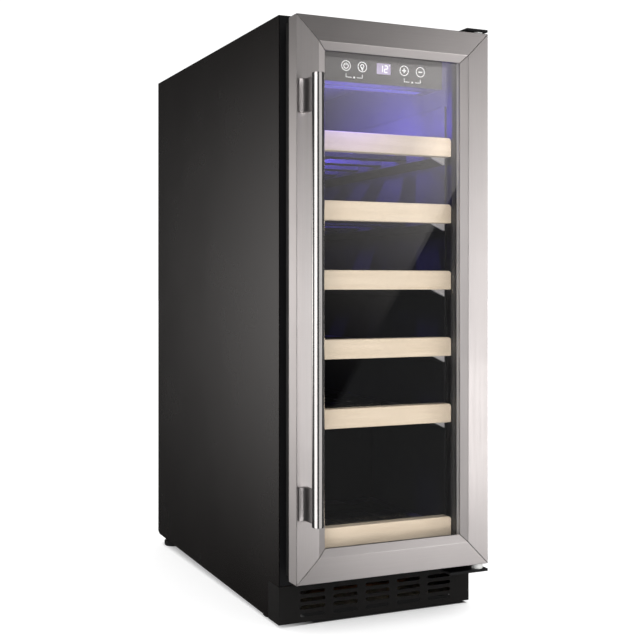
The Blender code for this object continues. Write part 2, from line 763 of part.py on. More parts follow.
def build_pane(name, front):
    half = DOOR_HALF - GLASS_INSET
    height = (DOOR_BOTTOM + GLASS_INSET, DOOR_TOP - GLASS_INSET)
    depth = (front, front + GLASS)
    return box(name, (-half, half), depth, height, "clear_glass", DOOR_AXIS)


def build_door():
    """Steel frame of four mitred lengths, double glazing, plastic inner frame and gasket."""
    names = ("door_bottom_rail", "door_right_stile", "door_top_rail", "door_left_stile")
    members = [build_frame_member(name, corner) for corner, name in enumerate(names)]
    build_pane("outer_glass", GLASS_FRONT)
    build_pane("inner_glass", INNER_GLASS_FRONT)
    space = (GLASS_FRONT + GLASS + GAP, INNER_GLASS_FRONT - GAP)
    inset = GLASS_INSET + 1 * MM
    edge = inset + SPACER_WIDTH
    section = [(inset, space[0]), (edge, space[0]), (edge, space[1]), (inset, space[1])]
    build_ring("glazing_spacer", section, "aluminium")

    rear = -INNER_FRAME_REAR
    inner = GLASS_INSET - GAP
    lip = GLASS_INSET + INNER_LIP
    pane_back = INNER_GLASS_FRONT + GLASS + GAP
    outer = FRAME_SHEET + GAP
    section = [
        (outer, DOOR_FACE + FRAME_SHEET + GAP),
        (FRAME_FLAT - GAP, DOOR_FACE + FRAME_SHEET + GAP),
        (inner, GLASS_FRONT),
        (inner, pane_back),
        (lip, pane_back),
        (lip, rear),
        (INNER_FRAME_INSET, rear),
        (INNER_FRAME_INSET, -DOOR_GAP),
        (outer, -DOOR_GAP),
    ]
    frame = build_ring("door_inner_frame", section, "black_plastic")

    start, end = GASKET_INSET, GASKET_INSET + GASKET_WIDTH
    fold = 2.5 * MM
    front, seal = rear + GAP, -GAP
    section = [
        (start, front),
        (end, front),
        (end, front + fold / 2),
        (end - fold, (front + seal) / 2),
        (end, seal - fold / 2),
        (end, seal),
        (start, seal),
        (start, seal - fold / 2),
        (start + fold, (front + seal) / 2),
        (start, front + fold / 2),
    ]
    build_ring("door_gasket", section, "rubber")

    bush = circle((PIN_X, PIN_Y), PIN_RADIUS + GAP + BUSH_WALL + GAP, 16)
    deep = BUSH_LENGTH + GAP
    upper = [(bush, "Z", DOOR_TOP - deep, DOOR_TOP + deep)]
    lower = [(bush, "Z", DOOR_BOTTOM - deep, DOOR_BOTTOM + deep)]
    cut_prisms(members[2], upper)
    cut_prisms(members[0], lower)
    cut_prisms(frame, upper + lower)


def bracket_outline():
    """Plan of a handle bracket: a foot flat on the door's edge and a leg out to the bar."""
    inset, thick = BRACKET_FOOT
    foot_left = -DOOR_HALF + inset
    leg_left, leg_right = HANDLE_X - BRACKET_LEG / 2, HANDLE_X + BRACKET_LEG / 2
    back = DOOR_FACE - GAP
    face = back - thick
    tip = DOOR_FACE - HANDLE_STANDOFF + HANDLE_RADIUS + GAP
    radius = min(BRACKET_FILLET, leg_left - foot_left - 1 * MM)
    bend = circle((leg_left - radius, face - radius), radius, 5, math.pi / 2, -math.pi / 2)
    outline = [(foot_left, back), (foot_left, face)] + bend
    return outline + [(leg_left, tip), (leg_right, tip), (leg_right, back)]


def build_handle():
    """Round bar on two bent brackets at the door's left edge."""
    middle = (DOOR_BOTTOM + DOOR_TOP) / 2
    low, high = middle - HANDLE_LENGTH / 2, middle + HANDLE_LENGTH / 2
    edge = 1 * MM
    axis = (HANDLE_X, DOOR_FACE - HANDLE_STANDOFF)
    profile = [
        (HANDLE_RADIUS - edge, low),
        (HANDLE_RADIUS, low + edge),
        (HANDLE_RADIUS, high - edge),
        (HANDLE_RADIUS - edge, high),
    ]
    turned("handle_bar", profile, axis, "Z", "polished_steel", 32, DOOR_AXIS)
    top = high - BRACKET_END
    bottom = low + BRACKET_END
    outline = bracket_outline()
    finish = "brushed_stainless"
    prism("upper_handle_bracket", outline, "Z", top - BRACKET_HEIGHT, top, finish, DOOR_AXIS)
    prism("lower_handle_bracket", outline, "Z", bottom, bottom + BRACKET_HEIGHT, finish, DOOR_AXIS)


def build_hinge(prefix, width, flat_low, up):
    """Angle bracket on the cabinet front with the pin riveted in it, and the door's bush on the pin.

    up is 1 where the pin points up into the door and -1 where it points down.
    """
    right = HALF - GAP
    rear, front = -GAP, -HINGE_REACH
    flat_high = flat_low + HINGE_PLATE
    bend = rear - HINGE_PLATE
    near, far = (flat_high, flat_low) if up > 0 else (flat_low, flat_high)
    leg = far + up * HINGE_LEG
    outline = [(front, far), (rear, far), (rear, leg), (bend, leg), (bend, near), (front, near)]
    plate = prism(f"{prefix}_hinge_plate", outline, "X", right - width, right, "black_steel")
    door_edge = DOOR_BOTTOM if up > 0 else DOOR_TOP
    root = (flat_low + flat_high) / 2
    low, high = sorted((root, door_edge + up * (BUSH_LENGTH - 2 * MM)))
    pin = turned("pin", [(PIN_RADIUS, low), (PIN_RADIUS, high)], (PIN_X, PIN_Y), "Z", None, 16)
    combine(plate, "UNION", pin)

    near = flat_high + GAP if up > 0 else flat_low - GAP
    seat = door_edge - up * GAP
    far = door_edge + up * BUSH_LENGTH
    inner, outer = PIN_RADIUS + GAP, PIN_RADIUS + GAP + BUSH_WALL
    profile = [(BUSH_FLANGE, near), (BUSH_FLANGE, seat), (outer, seat), (outer, far)]
    if up < 0:
        profile.reverse()
    place = (PIN_X, PIN_Y)
    bush = turned(f"{prefix}_hinge_bush", profile, place, "Z", "white_nylon", 16, DOOR_AXIS)
    low, high = sorted((near, far))
    bore = circle((PIN_X, PIN_Y), inner, 16)
    cut_prisms(bush, [(bore, "Z", low - HINGE_PLATE, high + HINGE_PLATE)])


def build_hinges():
    lower_flat = DOOR_BOTTOM - HINGE_CLEARANCE["lower"] - HINGE_PLATE
    upper_flat = DOOR_TOP + HINGE_CLEARANCE["upper"]
    build_hinge("lower", LOWER_HINGE_WIDTH, lower_flat, 1)
    build_hinge("upper", UPPER_HINGE_WIDTH, upper_flat, -1)


# Compressor bay


def build_compressor():
    """Hermetic compressor on its bracket, with the drip tray on top."""
    x, y = COMPRESSOR_PLACE
    width, depth, thick = MOUNT_PLATE
    foot = PAN_TOP + GAP
    high = foot + MOUNT_RISE
    low = high - thick
    leg = 14 * MM
    left, right = x - width / 2, x + width / 2
    outline = [
        (left, foot),
        (left + leg, foot),
        (left + leg, low),
        (right - leg, low),
        (right - leg, foot),
        (right, foot),
        (right, high),
        (left, high),
    ]
    prism("compressor_bracket", outline, "Y", y - depth / 2, y + depth / 2, "black_steel")

    base = high + GAP
    top = base + COMPRESSOR_HEIGHT
    radius = COMPRESSOR_RADIUS
    seam = base + COMPRESSOR_HEIGHT * 0.45
    lip = 3 * MM
    profile = [
        (radius * 0.62, base),
        (radius * 0.90, base + 14 * MM),
        (radius - lip, base + 34 * MM),
        (radius - lip, seam - lip),
        (radius, seam - lip),
        (radius, seam + lip),
        (radius - lip, seam + lip),
        (radius - lip, top - 46 * MM),
        (radius * 0.88, top - 22 * MM),
        (radius * 0.62, top - 6 * MM),
        (radius * 0.40, top),
    ]
    turned("compressor", profile, (x, y), "Z", "black_steel", 24)

    width, depth, tall = TRAY_SIZE
    low = top + GAP
    across = (x - width / 2, x + width / 2)
    along = (y - depth / 2, y + depth / 2)
    tray = box("drip_tray", across, along, (low, low + tall), "black_plastic")
    wall = TRAY_WALL
    inner = rectangle(across[0] + wall, across[1] - wall, along[0] + wall, along[1] - wall)
    cut_prisms(tray, [(inner, "Z", low + wall, low + tall + wall)])


def build_condenser():
    """Serpentine condenser tube on the base pan, in the air path behind the plinth."""
    z = PAN_TOP + GAP + COIL_RADIUS
    reach = COIL_RUN_LENGTH / 2 - COIL_PITCH / 2
    points = []
    for run in range(COIL_RUNS):
        y = COIL_START + run * COIL_PITCH
        side = 1 if run % 2 == 0 else -1
        points.append((-side * reach, y))
        if run < COIL_RUNS - 1:
            radius = COIL_PITCH / 2
            points += circle((side * reach, y + radius), radius, 6, -math.pi / 2, side * math.pi)
        else:
            points.append((side * reach, y))
    curve = bpy.data.curves.new("condenser_coil", "CURVE")
    curve.dimensions = "3D"
    curve.bevel_depth = COIL_RADIUS
    curve.bevel_resolution = 1
    curve.use_fill_caps = True
    curve.materials.append(material("copper"))
    spline = curve.splines.new("POLY")
    spline.points.add(len(points) - 1)
    for point, (x, y) in zip(spline.points, points):
        point.co = (x, y, z, 1)
    coil = bpy.data.objects.new("condenser_coil", curve)
    coil.location = (0, FRONT, 0)
    bpy.context.scene.collection.objects.link(coil)


def build_electrics():
    """Power board box and the gland in the rear cover that the mains lead leaves through."""
    x, y = POWER_BOX_PLACE
    width, depth, tall = POWER_BOX
    low = PAN_TOP + GAP
    across = (x - width / 2, x + width / 2)
    along = (y - depth / 2, y + depth / 2)
    box("power_box", across, along, (low, low + tall), "black_plastic")
    rear = CABINET_DEPTH - REAR_COVER_RECESS
    front = rear - PAN_SHEET
    shank = GLAND_RADIUS - 3 * MM
    bore = shank - 2.2 * MM
    profile = [
        (shank, front - 4 * MM),
        (shank, rear + GAP),
        (GLAND_RADIUS, rear + GAP),
        (GLAND_RADIUS, rear + 4 * MM),
        (GLAND_RADIUS - 2 * MM, rear + GLAND_LENGTH),
    ]
    gland = turned("mains_gland", profile, GLAND_PLACE, "Y", "rubber", 16)
    hole = circle(GLAND_PLACE, bore, 12)
    cut_prisms(gland, [(hole, "Y", front - 9 * MM, rear + GLAND_LENGTH + 9 * MM)])


def clear_scene():
    for found in list(bpy.data.objects):
        bpy.data.objects.remove(found)


def main():
    clear_scene()
    build_side_panel("left_side_panel", -1)
    build_side_panel("right_side_panel", 1)
    build_top_panel()
    build_rear_panel()
    build_compressor_cover()
    build_foam()
    build_liner()
    build_plinth()
    build_base_pan()
    build_feet()
    build_rail_panel("left_rail_panel", -1)
    build_rail_panel("right_rail_panel", 1)
    for number, underside in enumerate(shelf_undersides(), 1):
        build_shelf(number, underside, RACK_END if number <= FULL_SHELVES else LOW_RACK_END)
    build_evaporator()
    build_fan("circulation", 0, COVER_FRONT + COVER_WALL + GAP, FAN_HEIGHT)
    x, front = CONDENSER_FAN_PLACE
    build_fan("condenser", x, front, PAN_TOP + GAP + FAN_SIZE / 2)
    build_controls()
    build_door()
    build_handle()
    build_hinges()
    build_compressor()
    build_condenser()
    build_electrics()


main()
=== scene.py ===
# %% [markdown]
# # A built-under wine cooler
#
# This lesson dresses a finished CAD model of a wine cooler: a black steel cabinet, a glazed door in
# a brushed steel frame, beech-fronted shelves and a slotted plinth. The CAD pieces come in from
# model.glb, already at their real size in metres. Each cell below takes one piece or one finish,
# says what it is on the real object, and then makes it.

# %% Load the imported model
import bmesh
import bpy
import math
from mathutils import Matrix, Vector


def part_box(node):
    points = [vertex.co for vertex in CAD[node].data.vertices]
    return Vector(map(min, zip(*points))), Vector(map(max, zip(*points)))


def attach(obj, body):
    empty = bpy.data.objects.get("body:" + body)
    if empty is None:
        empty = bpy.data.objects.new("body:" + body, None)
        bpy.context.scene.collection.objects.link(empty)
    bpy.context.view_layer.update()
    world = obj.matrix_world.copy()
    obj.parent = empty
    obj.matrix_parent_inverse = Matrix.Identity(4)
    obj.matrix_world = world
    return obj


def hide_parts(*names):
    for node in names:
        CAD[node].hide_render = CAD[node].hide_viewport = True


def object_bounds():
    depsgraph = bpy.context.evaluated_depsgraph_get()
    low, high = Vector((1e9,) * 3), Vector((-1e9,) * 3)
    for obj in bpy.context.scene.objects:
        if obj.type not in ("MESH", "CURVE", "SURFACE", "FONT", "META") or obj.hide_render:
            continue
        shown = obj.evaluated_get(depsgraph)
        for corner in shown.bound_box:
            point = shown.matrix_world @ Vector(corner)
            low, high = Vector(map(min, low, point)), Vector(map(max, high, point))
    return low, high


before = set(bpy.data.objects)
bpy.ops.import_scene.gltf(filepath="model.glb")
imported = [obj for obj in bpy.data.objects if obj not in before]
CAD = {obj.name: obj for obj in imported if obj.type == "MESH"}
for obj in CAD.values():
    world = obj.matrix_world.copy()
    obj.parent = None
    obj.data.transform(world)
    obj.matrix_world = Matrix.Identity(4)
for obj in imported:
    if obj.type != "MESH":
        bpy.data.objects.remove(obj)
cad_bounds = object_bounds()
print("CAD box:", [[round(v, 4) for v in corner] for corner in cad_bounds])

# %% [markdown]
# ## Hands on the tools
#
# Blender's operators act on whatever is selected, so the first helpers only choose: one piece, and
# then some of its faces or edges by where they lie. Everything later is made with these and with
# the same operators that the menus offer.

# %% Choosing pieces, faces and edges
MM = 0.001


def only(piece):
    """Makes one piece the only selected and the active one."""
    bpy.ops.object.select_all(action="DESELECT")
    piece.select_set(True)
    bpy.context.view_layer.objects.active = piece


def open_piece(piece, mode="FACE"):
    """Goes into edit mode with nothing selected."""
    only(piece)
    bpy.ops.object.mode_set(mode="EDIT")
    bpy.ops.mesh.select_mode(type=mode)
    bpy.ops.mesh.select_all(action="DESELECT")


def close_piece():
    """Goes back to object mode."""
    bpy.ops.object.mode_set(mode="OBJECT")


def choose(piece, kind, test):
    """In edit mode, selects just the faces or edges that pass the test, and counts them."""
    bpy.ops.mesh.select_all(action="DESELECT")
    shape = bmesh.from_edit_mesh(piece.data)
    found = [part for part in getattr(shape, kind) if test(part)]
    for part in found:
        part.select_set(True)
    bmesh.update_edit_mesh(piece.data)
    return len(found)


def facing(x=0, y=0, z=0):
    """A test for faces that look along the given axis."""
    return lambda face: face.normal.dot(Vector((x, y, z))) > 0.99


print("one millimetre is", MM, "m")


# %% [markdown]
# A CAD mesh arrives as loose triangles. Its shape is right but it can't be bevelled, so a copy is
# welded together and its flat triangles dissolved into whole faces. A bevel with hardened normals
# then gives every fold the small radius that real sheet and moulded plastic have. That radius is
# what catches the light along an edge.

# %% Welding a copy and rounding its edges
def copy_of(node, name):
    """A welded copy of a CAD piece as a new object."""
    piece = bpy.data.objects.new(name, CAD[node].data.copy())
    bpy.context.scene.collection.objects.link(piece)
    piece.data.materials.clear()
    open_piece(piece, "VERT")
    bpy.ops.mesh.customdata_custom_splitnormals_clear()
    bpy.ops.mesh.select_all(action="SELECT")
    bpy.ops.mesh.remove_doubles(threshold=0.01 * MM)
    bpy.ops.mesh.dissolve_limited(angle_limit=math.radians(1))
    close_piece()
    return piece


def round_edges(piece, radius, segments=3, angle=30):
    """Rounds every edge sharper than the angle."""
    only(piece)
    bpy.ops.object.shade_smooth_by_angle(angle=math.radians(40))
    bevel = piece.modifiers.new("rounding", "BEVEL")
    bevel.width = radius
    bevel.segments = segments
    bevel.limit_method = "ANGLE"
    bevel.angle_limit = math.radians(angle)
    bevel.harden_normals = True
    bpy.ops.object.modifier_apply(modifier=bevel.name)
    return piece


# %% [markdown]
# A finished piece sits at the origin with its place in its mesh, as the CAD pieces do. It gets its
# finish, the body that it moves with, and the CAD pieces that it stands for.

# %% Fixing a piece to the object
def fix(piece, body, slot, finish, *stands_for):
    """Bakes the piece's place into its mesh and hangs it on its body."""
    only(piece)
    bpy.ops.object.transform_apply(location=True, rotation=True, scale=True)
    piece.data.materials.clear()
    piece.data.materials.append(finish)
    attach(piece, body)
    if stands_for:
        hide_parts(*stands_for)
    print(f"{piece.name}: {len(piece.data.polygons)} faces on {body}")
    return piece


def dress(finish, *nodes):
    """Gives carried-over CAD pieces a new finish."""
    for node in nodes:
        for slot in CAD[node].material_slots:
            slot.material = finish


# %% [markdown]
# ## The camera
#
# The camera stands at the front left, level, a little above the middle of the door. It stays level
# so that the upright edges stay upright, and its lens is shifted sideways and down, as with a view
# camera, instead of being turned or tilted.

# %% Camera
CAMERA_PLACE = (-0.72006, -1.49666, 0.44942)
CAMERA_HEADING = -23.2  # degrees round from the door's own direction, to the left of the cooler
camera_data = bpy.data.cameras.new("camera")
camera = bpy.data.objects.new("camera", camera_data)
bpy.context.scene.collection.objects.link(camera)
camera.location = CAMERA_PLACE
camera.rotation_euler = (math.radians(90), 0, math.radians(CAMERA_HEADING))
camera_data.sensor_width = 36
camera_data.lens = 60.29
camera_data.shift_x = 0.0889
camera_data.shift_y = -0.0531
bpy.context.scene.camera = camera
bpy.context.scene.view_settings.view_transform = "Standard"
print("lens:", camera_data.lens, "mm")

# %% [markdown]
# ## The studio
#
# The cooler stands on a white floor under an even white dome of light, so that its shadow is soft
# and close. The dome alone would wash out black paint and brushed steel, which show only what they
# mirror. So mirrored rays see a dim room instead, and white cards stand round the object where a
# photographer would put them: each is seen in reflections and lights nothing else. The shaders
# below are all built with the same few helpers.

# %% Node helpers and the dome
def add(tree, kind, values=None, **settings):
    """Adds a shader node, with values for its inputs by name and settings for itself."""
    node = tree.nodes.new(kind)
    for name, value in settings.items():
        setattr(node, name, value)
    for name, value in (values or {}).items():
        node.inputs[name].default_value = value
    return node


def link(tree, start, end):
    """Joins an output to an input."""
    tree.links.new(start, end)


def ranged(tree, value, low, high, start=0.0, end=1.0):
    """Maps a value from (low, high) to (start, end)."""
    limits = {"From Min": low, "From Max": high, "To Min": start, "To Max": end}
    made = add(tree, "ShaderNodeMapRange", limits)
    link(tree, value, made.inputs["Value"])
    return made.outputs["Result"]


def calculate(tree, operation, first, second):
    """A Math node on two sockets or numbers."""
    made = add(tree, "ShaderNodeMath", operation=operation)
    for place, value in enumerate((first, second)):
        if isinstance(value, (int, float)):
            made.inputs[place].default_value = value
        else:
            link(tree, value, made.inputs[place])
    return made.outputs[0]


def colour_between(tree, factor, dark, light):
    """Blends two colours by a value."""
    mix = add(tree, "ShaderNodeMix", data_type="RGBA")
    link(tree, factor, mix.inputs["Factor"])
    mix.inputs[6].default_value = (*dark, 1)
    mix.inputs[7].default_value = (*light, 1)
    return mix.outputs[2]


DOME = 1.12  # what plain surfaces see all round
ROOM = 0.05  # what mirrored rays see between the cards
world = bpy.data.worlds.new("studio")
bpy.context.scene.world = world
world.use_nodes = True
sky = world.node_tree
background = sky.nodes["Background"]
background.inputs["Color"].default_value = (1, 1, 1, 1)
path = add(sky, "ShaderNodeLightPath")
dimming = ranged(sky, path.outputs["Is Glossy Ray"], 0, 1, DOME, ROOM)
link(sky, dimming, background.inputs["Strength"])
print("dome:", DOME, "room:", ROOM)

# %% [markdown]
# The floor is plain and pale. Under the cabinet it carries a painted shadow, so that nothing bright
# shows through the slots of the plinth: the painted shadow fades out at the left and at the back,
# where the floor shows below the raised side panels, and stops sharply at the plinth and on the
# right. Four ramps on the floor's own coordinates, one from each side, give the edge of the painted shadow.

# %% Floor
FLOOR_SIZE = 60
BARE_FLOOR = (0.93, 0.93, 0.93)
# The dark paint under the cabinet is a painted shadow.
PAINTED_SHADOW_FLOOR = (0.02, 0.02, 0.02)
FLOOR_GLOW = 0.42  # lifts the floor to white without lifting the lamps
SHARP, SOFT_SIDE, SOFT_BACK = 4 * MM, 55 * MM, 60 * MM
bpy.ops.mesh.primitive_plane_add(size=FLOOR_SIZE, location=(0, 0, 0))
floor = bpy.context.object
floor.name = "studio_floor"
floor_paint = bpy.data.materials.new("floor_paint")
floor_paint.use_nodes = True
floor_shader = floor_paint.node_tree.nodes["Principled BSDF"]
floor_shader.inputs["Roughness"].default_value = 0.9
floor_shader.inputs["Specular IOR Level"].default_value = 0.0
floor_tree = floor_paint.node_tree
floor_spot = add(floor_tree, "ShaderNodeTexCoord")
front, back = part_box("plinth_grille")[0].y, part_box("left_side_panel")[1].y
print(f"footprint of the cabinet: {2 * cad_bounds[1].x:.3f} x {back - front:.3f} m")
split = add(floor_tree, "ShaderNodeSeparateXYZ")
link(floor_tree, floor_spot.outputs["Object"], split.inputs["Vector"])
side = cad_bounds[1].x
outside_painted_shadow = None
for axis, fully_shaded, bare in (
    ("X", SOFT_SIDE - side, -side),
    ("X", side - SHARP, side),
    ("Y", front + SHARP, front),
    ("Y", back - SOFT_BACK, back),
):
    fade = ranged(floor_tree, split.outputs[axis], fully_shaded, bare)
    outside_painted_shadow = fade if outside_painted_shadow is None else calculate(floor_tree, "MAXIMUM", outside_painted_shadow, fade)
floor_and_painted_shadow = colour_between(floor_tree, outside_painted_shadow, PAINTED_SHADOW_FLOOR, BARE_FLOOR)
link(floor_tree, floor_and_painted_shadow, floor_shader.inputs["Base Color"])
link(floor_tree, floor_and_painted_shadow, floor_shader.inputs["Emission Color"])
floor_shader.inputs["Emission Strength"].default_value = FLOOR_GLOW
floor.data.materials.append(floor_paint)
floor.visible_glossy = False
floor.visible_transmission = False

# %% [markdown]
# Two cards are enough. The window card fades along its length and makes the pale veil across the
# upper glass. The card behind on the left is brightest in its middle, and is what the black side
# panel mirrors: its round falloff is the soft glow in the paint.

# %% Cards
CARD_TINT = (1, 0.96, 0.94, 1)


def card(name, place, turn, size, strength, power, shape="LINEAR"):
    """A glowing card that only mirrored rays see, shaded from its edge or along its own +Y."""
    bpy.ops.mesh.primitive_plane_add(size=1, location=place, rotation=[math.radians(a) for a in turn])
    piece = bpy.context.object
    piece.name = name
    piece.scale = (size[0], size[1], 1)
    glow = bpy.data.materials.new(name)
    glow.use_nodes = True
    tree = glow.node_tree
    tree.nodes.remove(tree.nodes["Principled BSDF"])
    emission = add(tree, "ShaderNodeEmission", {"Color": CARD_TINT})
    spot = add(tree, "ShaderNodeTexCoord")
    mapping = add(tree, "ShaderNodeMapping")
    fade = add(tree, "ShaderNodeTexGradient", gradient_type=shape)
    if shape == "SPHERICAL":
        mapping.inputs["Scale"].default_value = (2, 2, 2)
    else:
        mapping.inputs["Rotation"].default_value = (0, 0, math.radians(-90))
        mapping.inputs["Location"].default_value = (0.5, 0, 0)
    link(tree, spot.outputs["Object"], mapping.inputs["Vector"])
    link(tree, mapping.outputs["Vector"], fade.inputs["Vector"])
    level = calculate(tree, "MULTIPLY", calculate(tree, "POWER", fade.outputs["Fac"], power), strength)
    link(tree, level, emission.inputs["Strength"])
    link(tree, emission.outputs[0], tree.nodes["Material Output"].inputs["Surface"])
    piece.data.materials.append(glow)
    piece.visible_camera = False
    piece.visible_diffuse = False
    piece.visible_transmission = False
    piece.visible_shadow = False
    return piece


window_card = card("window_card", (0.93, -2.26, 0.77), (90, 32, 0), (0.8, 1.74), 2.4, 3.2)
window_card.visible_transmission = True
card("back_left_card", (-1.9, 2.3, 0.38), (90, 0, 180), (2.0, 2.9), 3.7, 1.6, "SPHERICAL")

# %% [markdown]
# ## Effects that several finishes share
#
# Each effect is a node group: brushed lines, slow blotches, fine grit, beech grain and zinc
# spangle. A group gives out only values that change over the surface. The shader itself stays in
# the material.

# %% Making a node group
def new_group(name, inputs, outputs):
    """An empty node group with its sockets, and its two end nodes."""
    group = bpy.data.node_groups.new(name, "ShaderNodeTree")
    for label, kind, value in inputs:
        socket = group.interface.new_socket(label, in_out="INPUT", socket_type=f"NodeSocket{kind}")
        if value is not None:
            socket.default_value = value
    for label, kind in outputs:
        group.interface.new_socket(label, in_out="OUTPUT", socket_type=f"NodeSocket{kind}")
    return group, add(group, "NodeGroupInput"), add(group, "NodeGroupOutput")


def noise(tree, where, scale, detail=3.0, roughness=0.55):
    """A noise texture read at the given place."""
    made = add(tree, "ShaderNodeTexNoise", {"Scale": scale, "Detail": detail, "Roughness": roughness})
    link(tree, where, made.inputs["Vector"])
    return made.outputs["Fac"]


def stretched(tree, where, stretch):
    """Multiplies a place by a vector or a socket."""
    made = add(tree, "ShaderNodeVectorMath", operation="MULTIPLY")
    link(tree, where, made.inputs[0])
    if isinstance(stretch, tuple):
        made.inputs[1].default_value = stretch
    else:
        link(tree, stretch, made.inputs[1])
    return made.outputs["Vector"]


# %% [markdown]
# Brushing leaves fine lines of differing length in the steel. Noise read along a stretched place
# gives them: the place is multiplied far more across the lines than along them, and a broader
# noise of the same kind keeps the lines from looking ruled.

# %% Brushed lines
brushed, enter, leave = new_group(
    "brushed lines",
    [("Vector", "Vector", None), ("Stretch", "Vector", (3000, 3000, 25))],
    [("Lines", "Float")],
)
along = stretched(brushed, enter.outputs["Vector"], enter.outputs["Stretch"])
fine = noise(brushed, along, 1.0, 4.0, 0.7)
broad = noise(brushed, along, 0.22, 2.0)
FINE_SHARE = 0.6
fine_part = calculate(brushed, "MULTIPLY", fine, FINE_SHARE)
broad_part = calculate(brushed, "MULTIPLY", broad, 1 - FINE_SHARE)
lines = calculate(brushed, "ADD", fine_part, broad_part)
link(brushed, ranged(brushed, lines, 0.3, 0.7), leave.inputs["Lines"])

# %% [markdown]
# No real surface is the same all over. Slow blotches shift a colour or a gloss a little from place
# to place, and fine grit gives moulded and painted skins their small bumps. Both are plain noise.

# %% Slow blotches
blotches, enter, leave = new_group(
    "blotches",
    [("Vector", "Vector", None), ("Scale", "Float", 8.0), ("Low", "Float", 0.0), ("High", "Float", 1.0)],
    [("Value", "Float")],
)
cloud = add(blotches, "ShaderNodeTexNoise", {"Detail": 4.0, "Roughness": 0.6})
link(blotches, enter.outputs["Vector"], cloud.inputs["Vector"])
link(blotches, enter.outputs["Scale"], cloud.inputs["Scale"])
spread = add(blotches, "ShaderNodeMapRange", {"From Min": 0.3, "From Max": 0.7})
link(blotches, cloud.outputs["Fac"], spread.inputs["Value"])
link(blotches, enter.outputs["Low"], spread.inputs["To Min"])
link(blotches, enter.outputs["High"], spread.inputs["To Max"])
link(blotches, spread.outputs["Result"], leave.inputs["Value"])

# %% Fine grit
grit, enter, leave = new_group(
    "grit",
    [("Vector", "Vector", None), ("Scale", "Float", 2500.0)],
    [("Height", "Float")],
)
specks = add(grit, "ShaderNodeTexNoise", {"Detail": 2.0, "Roughness": 0.6})
link(grit, enter.outputs["Vector"], specks.inputs["Vector"])
link(grit, enter.outputs["Scale"], specks.inputs["Scale"])
link(grit, specks.outputs["Fac"], leave.inputs["Height"])

# %% [markdown]
# Beech is pale and even. Its grain runs along the board as faint darker streaks, and short dark
# flecks, a few millimetres long, lie in it. Both are noise stretched along X, the length of the
# board. The flecks are the rarest peaks of a much finer noise.

# %% Beech grain
beech_grain, enter, leave = new_group(
    "beech grain", [("Vector", "Vector", None)], [("Streaks", "Float"), ("Flecks", "Float")]
)
board = stretched(beech_grain, enter.outputs["Vector"], (9, 160, 160))
streaks = noise(beech_grain, board, 1.0, 5.0, 0.65)
link(beech_grain, ranged(beech_grain, streaks, 0.32, 0.68), leave.inputs["Streaks"])
pores = stretched(beech_grain, enter.outputs["Vector"], (260, 1500, 1500))
flecks = noise(beech_grain, pores, 1.0, 1.0)
link(beech_grain, ranged(beech_grain, flecks, 0.64, 0.74), leave.inputs["Flecks"])

# %% [markdown]
# Hot-dipped zinc freezes in crystals a few millimetres across, each of which mirrors a little
# differently. Voronoi cells, with their edges warped by noise, give each crystal one shade.

# %% Zinc spangle
spangle, enter, leave = new_group("zinc spangle", [("Vector", "Vector", None)], [("Shade", "Float")])
cells = add(spangle, "ShaderNodeTexVoronoi", {"Scale": 190.0, "Randomness": 1.0})
warp = add(spangle, "ShaderNodeTexNoise", {"Scale": 260.0, "Detail": 2.0})
link(spangle, enter.outputs["Vector"], warp.inputs["Vector"])
bend = add(spangle, "ShaderNodeMix", {"Factor": 0.006}, data_type="VECTOR")
link(spangle, enter.outputs["Vector"], bend.inputs["A"])
link(spangle, warp.outputs["Color"], bend.inputs["B"])
link(spangle, bend.outputs["Result"], cells.inputs["Vector"])
shade = add(spangle, "ShaderNodeSeparateColor")
link(spangle, cells.outputs["Color"], shade.inputs["Color"])
link(spangle, shade.outputs["Red"], leave.inputs["Shade"])
print("node groups:", len(bpy.data.node_groups))

# %% [markdown]
# ## Finishes
#
# Every finish starts from the same Principled shader. Constants such as the metal, the coat and
# the index of refraction are set on the shader, and the groups drive colour, roughness and bump.

# %% Starting a finish
def new_finish(name, **constants):
    """A material with its Principled shader, the place on the surface, and its node tree."""
    finish = bpy.data.materials.new(name)
    finish.use_nodes = True
    tree = finish.node_tree
    shader = tree.nodes["Principled BSDF"]
    for label, value in constants.items():
        shader.inputs[label.replace("_", " ").title().replace("Ior", "IOR")].default_value = value
    where = add(tree, "ShaderNodeTexCoord").outputs["Object"]
    return finish, tree, shader, where


def use(tree, group, where, **values):
    """Places a shared group in a material."""
    made = add(tree, "ShaderNodeGroup", node_tree=group)
    link(tree, where, made.inputs["Vector"])
    for label, value in values.items():
        made.inputs[label.title()].default_value = value
    return made.outputs


def bump(tree, shader, height, strength, distance):
    """Feeds a height to the shader's normal."""
    made = add(tree, "ShaderNodeBump", {"Strength": strength, "Distance": distance})
    link(tree, height, made.inputs["Height"])
    link(tree, made.outputs["Normal"], shader.inputs["Normal"])


# %% [markdown]
# The door frame is stainless steel brushed along each length, so the upright and level members
# need their lines turned. The steel mirrors the room as a soft smear.

# %% Brushed stainless steel
def brushed_steel(name, stretch, dark=(0.56, 0.535, 0.53), light=(0.62, 0.595, 0.59), low=0.30):
    finish, tree, shader, where = new_finish(name, metallic=1.0)
    lines = use(tree, brushed, where, stretch=stretch)["Lines"]
    link(tree, colour_between(tree, lines, dark, light), shader.inputs["Base Color"])
    slow = use(tree, blotches, where, scale=7.0, low=-0.02, high=0.03)["Value"]
    rough = calculate(tree, "ADD", ranged(tree, lines, 0, 1, low, low + 0.10), slow)
    link(tree, rough, shader.inputs["Roughness"])
    bump(tree, shader, lines, 0.05, 0.02 * MM)
    return finish


STEEL_UPRIGHT = brushed_steel("brushed_steel_upright", (2600, 2600, 30))
STEEL_LEVEL = brushed_steel("brushed_steel_level", (30, 2600, 2600))
# The brackets' steel is darker than the frame's: a painted shade for the dark their faces mirror.
SHADED_STRIP_STEEL = brushed_steel("bracket_steel_painted_shade", (2600, 2600, 60), (0.42, 0.40, 0.40), (0.49, 0.47, 0.47), 0.5)

# %% [markdown]
# The handle is polished instead of brushed, and mirrors in long stripes. A faint haze that changes
# slowly keeps it from looking like chrome.

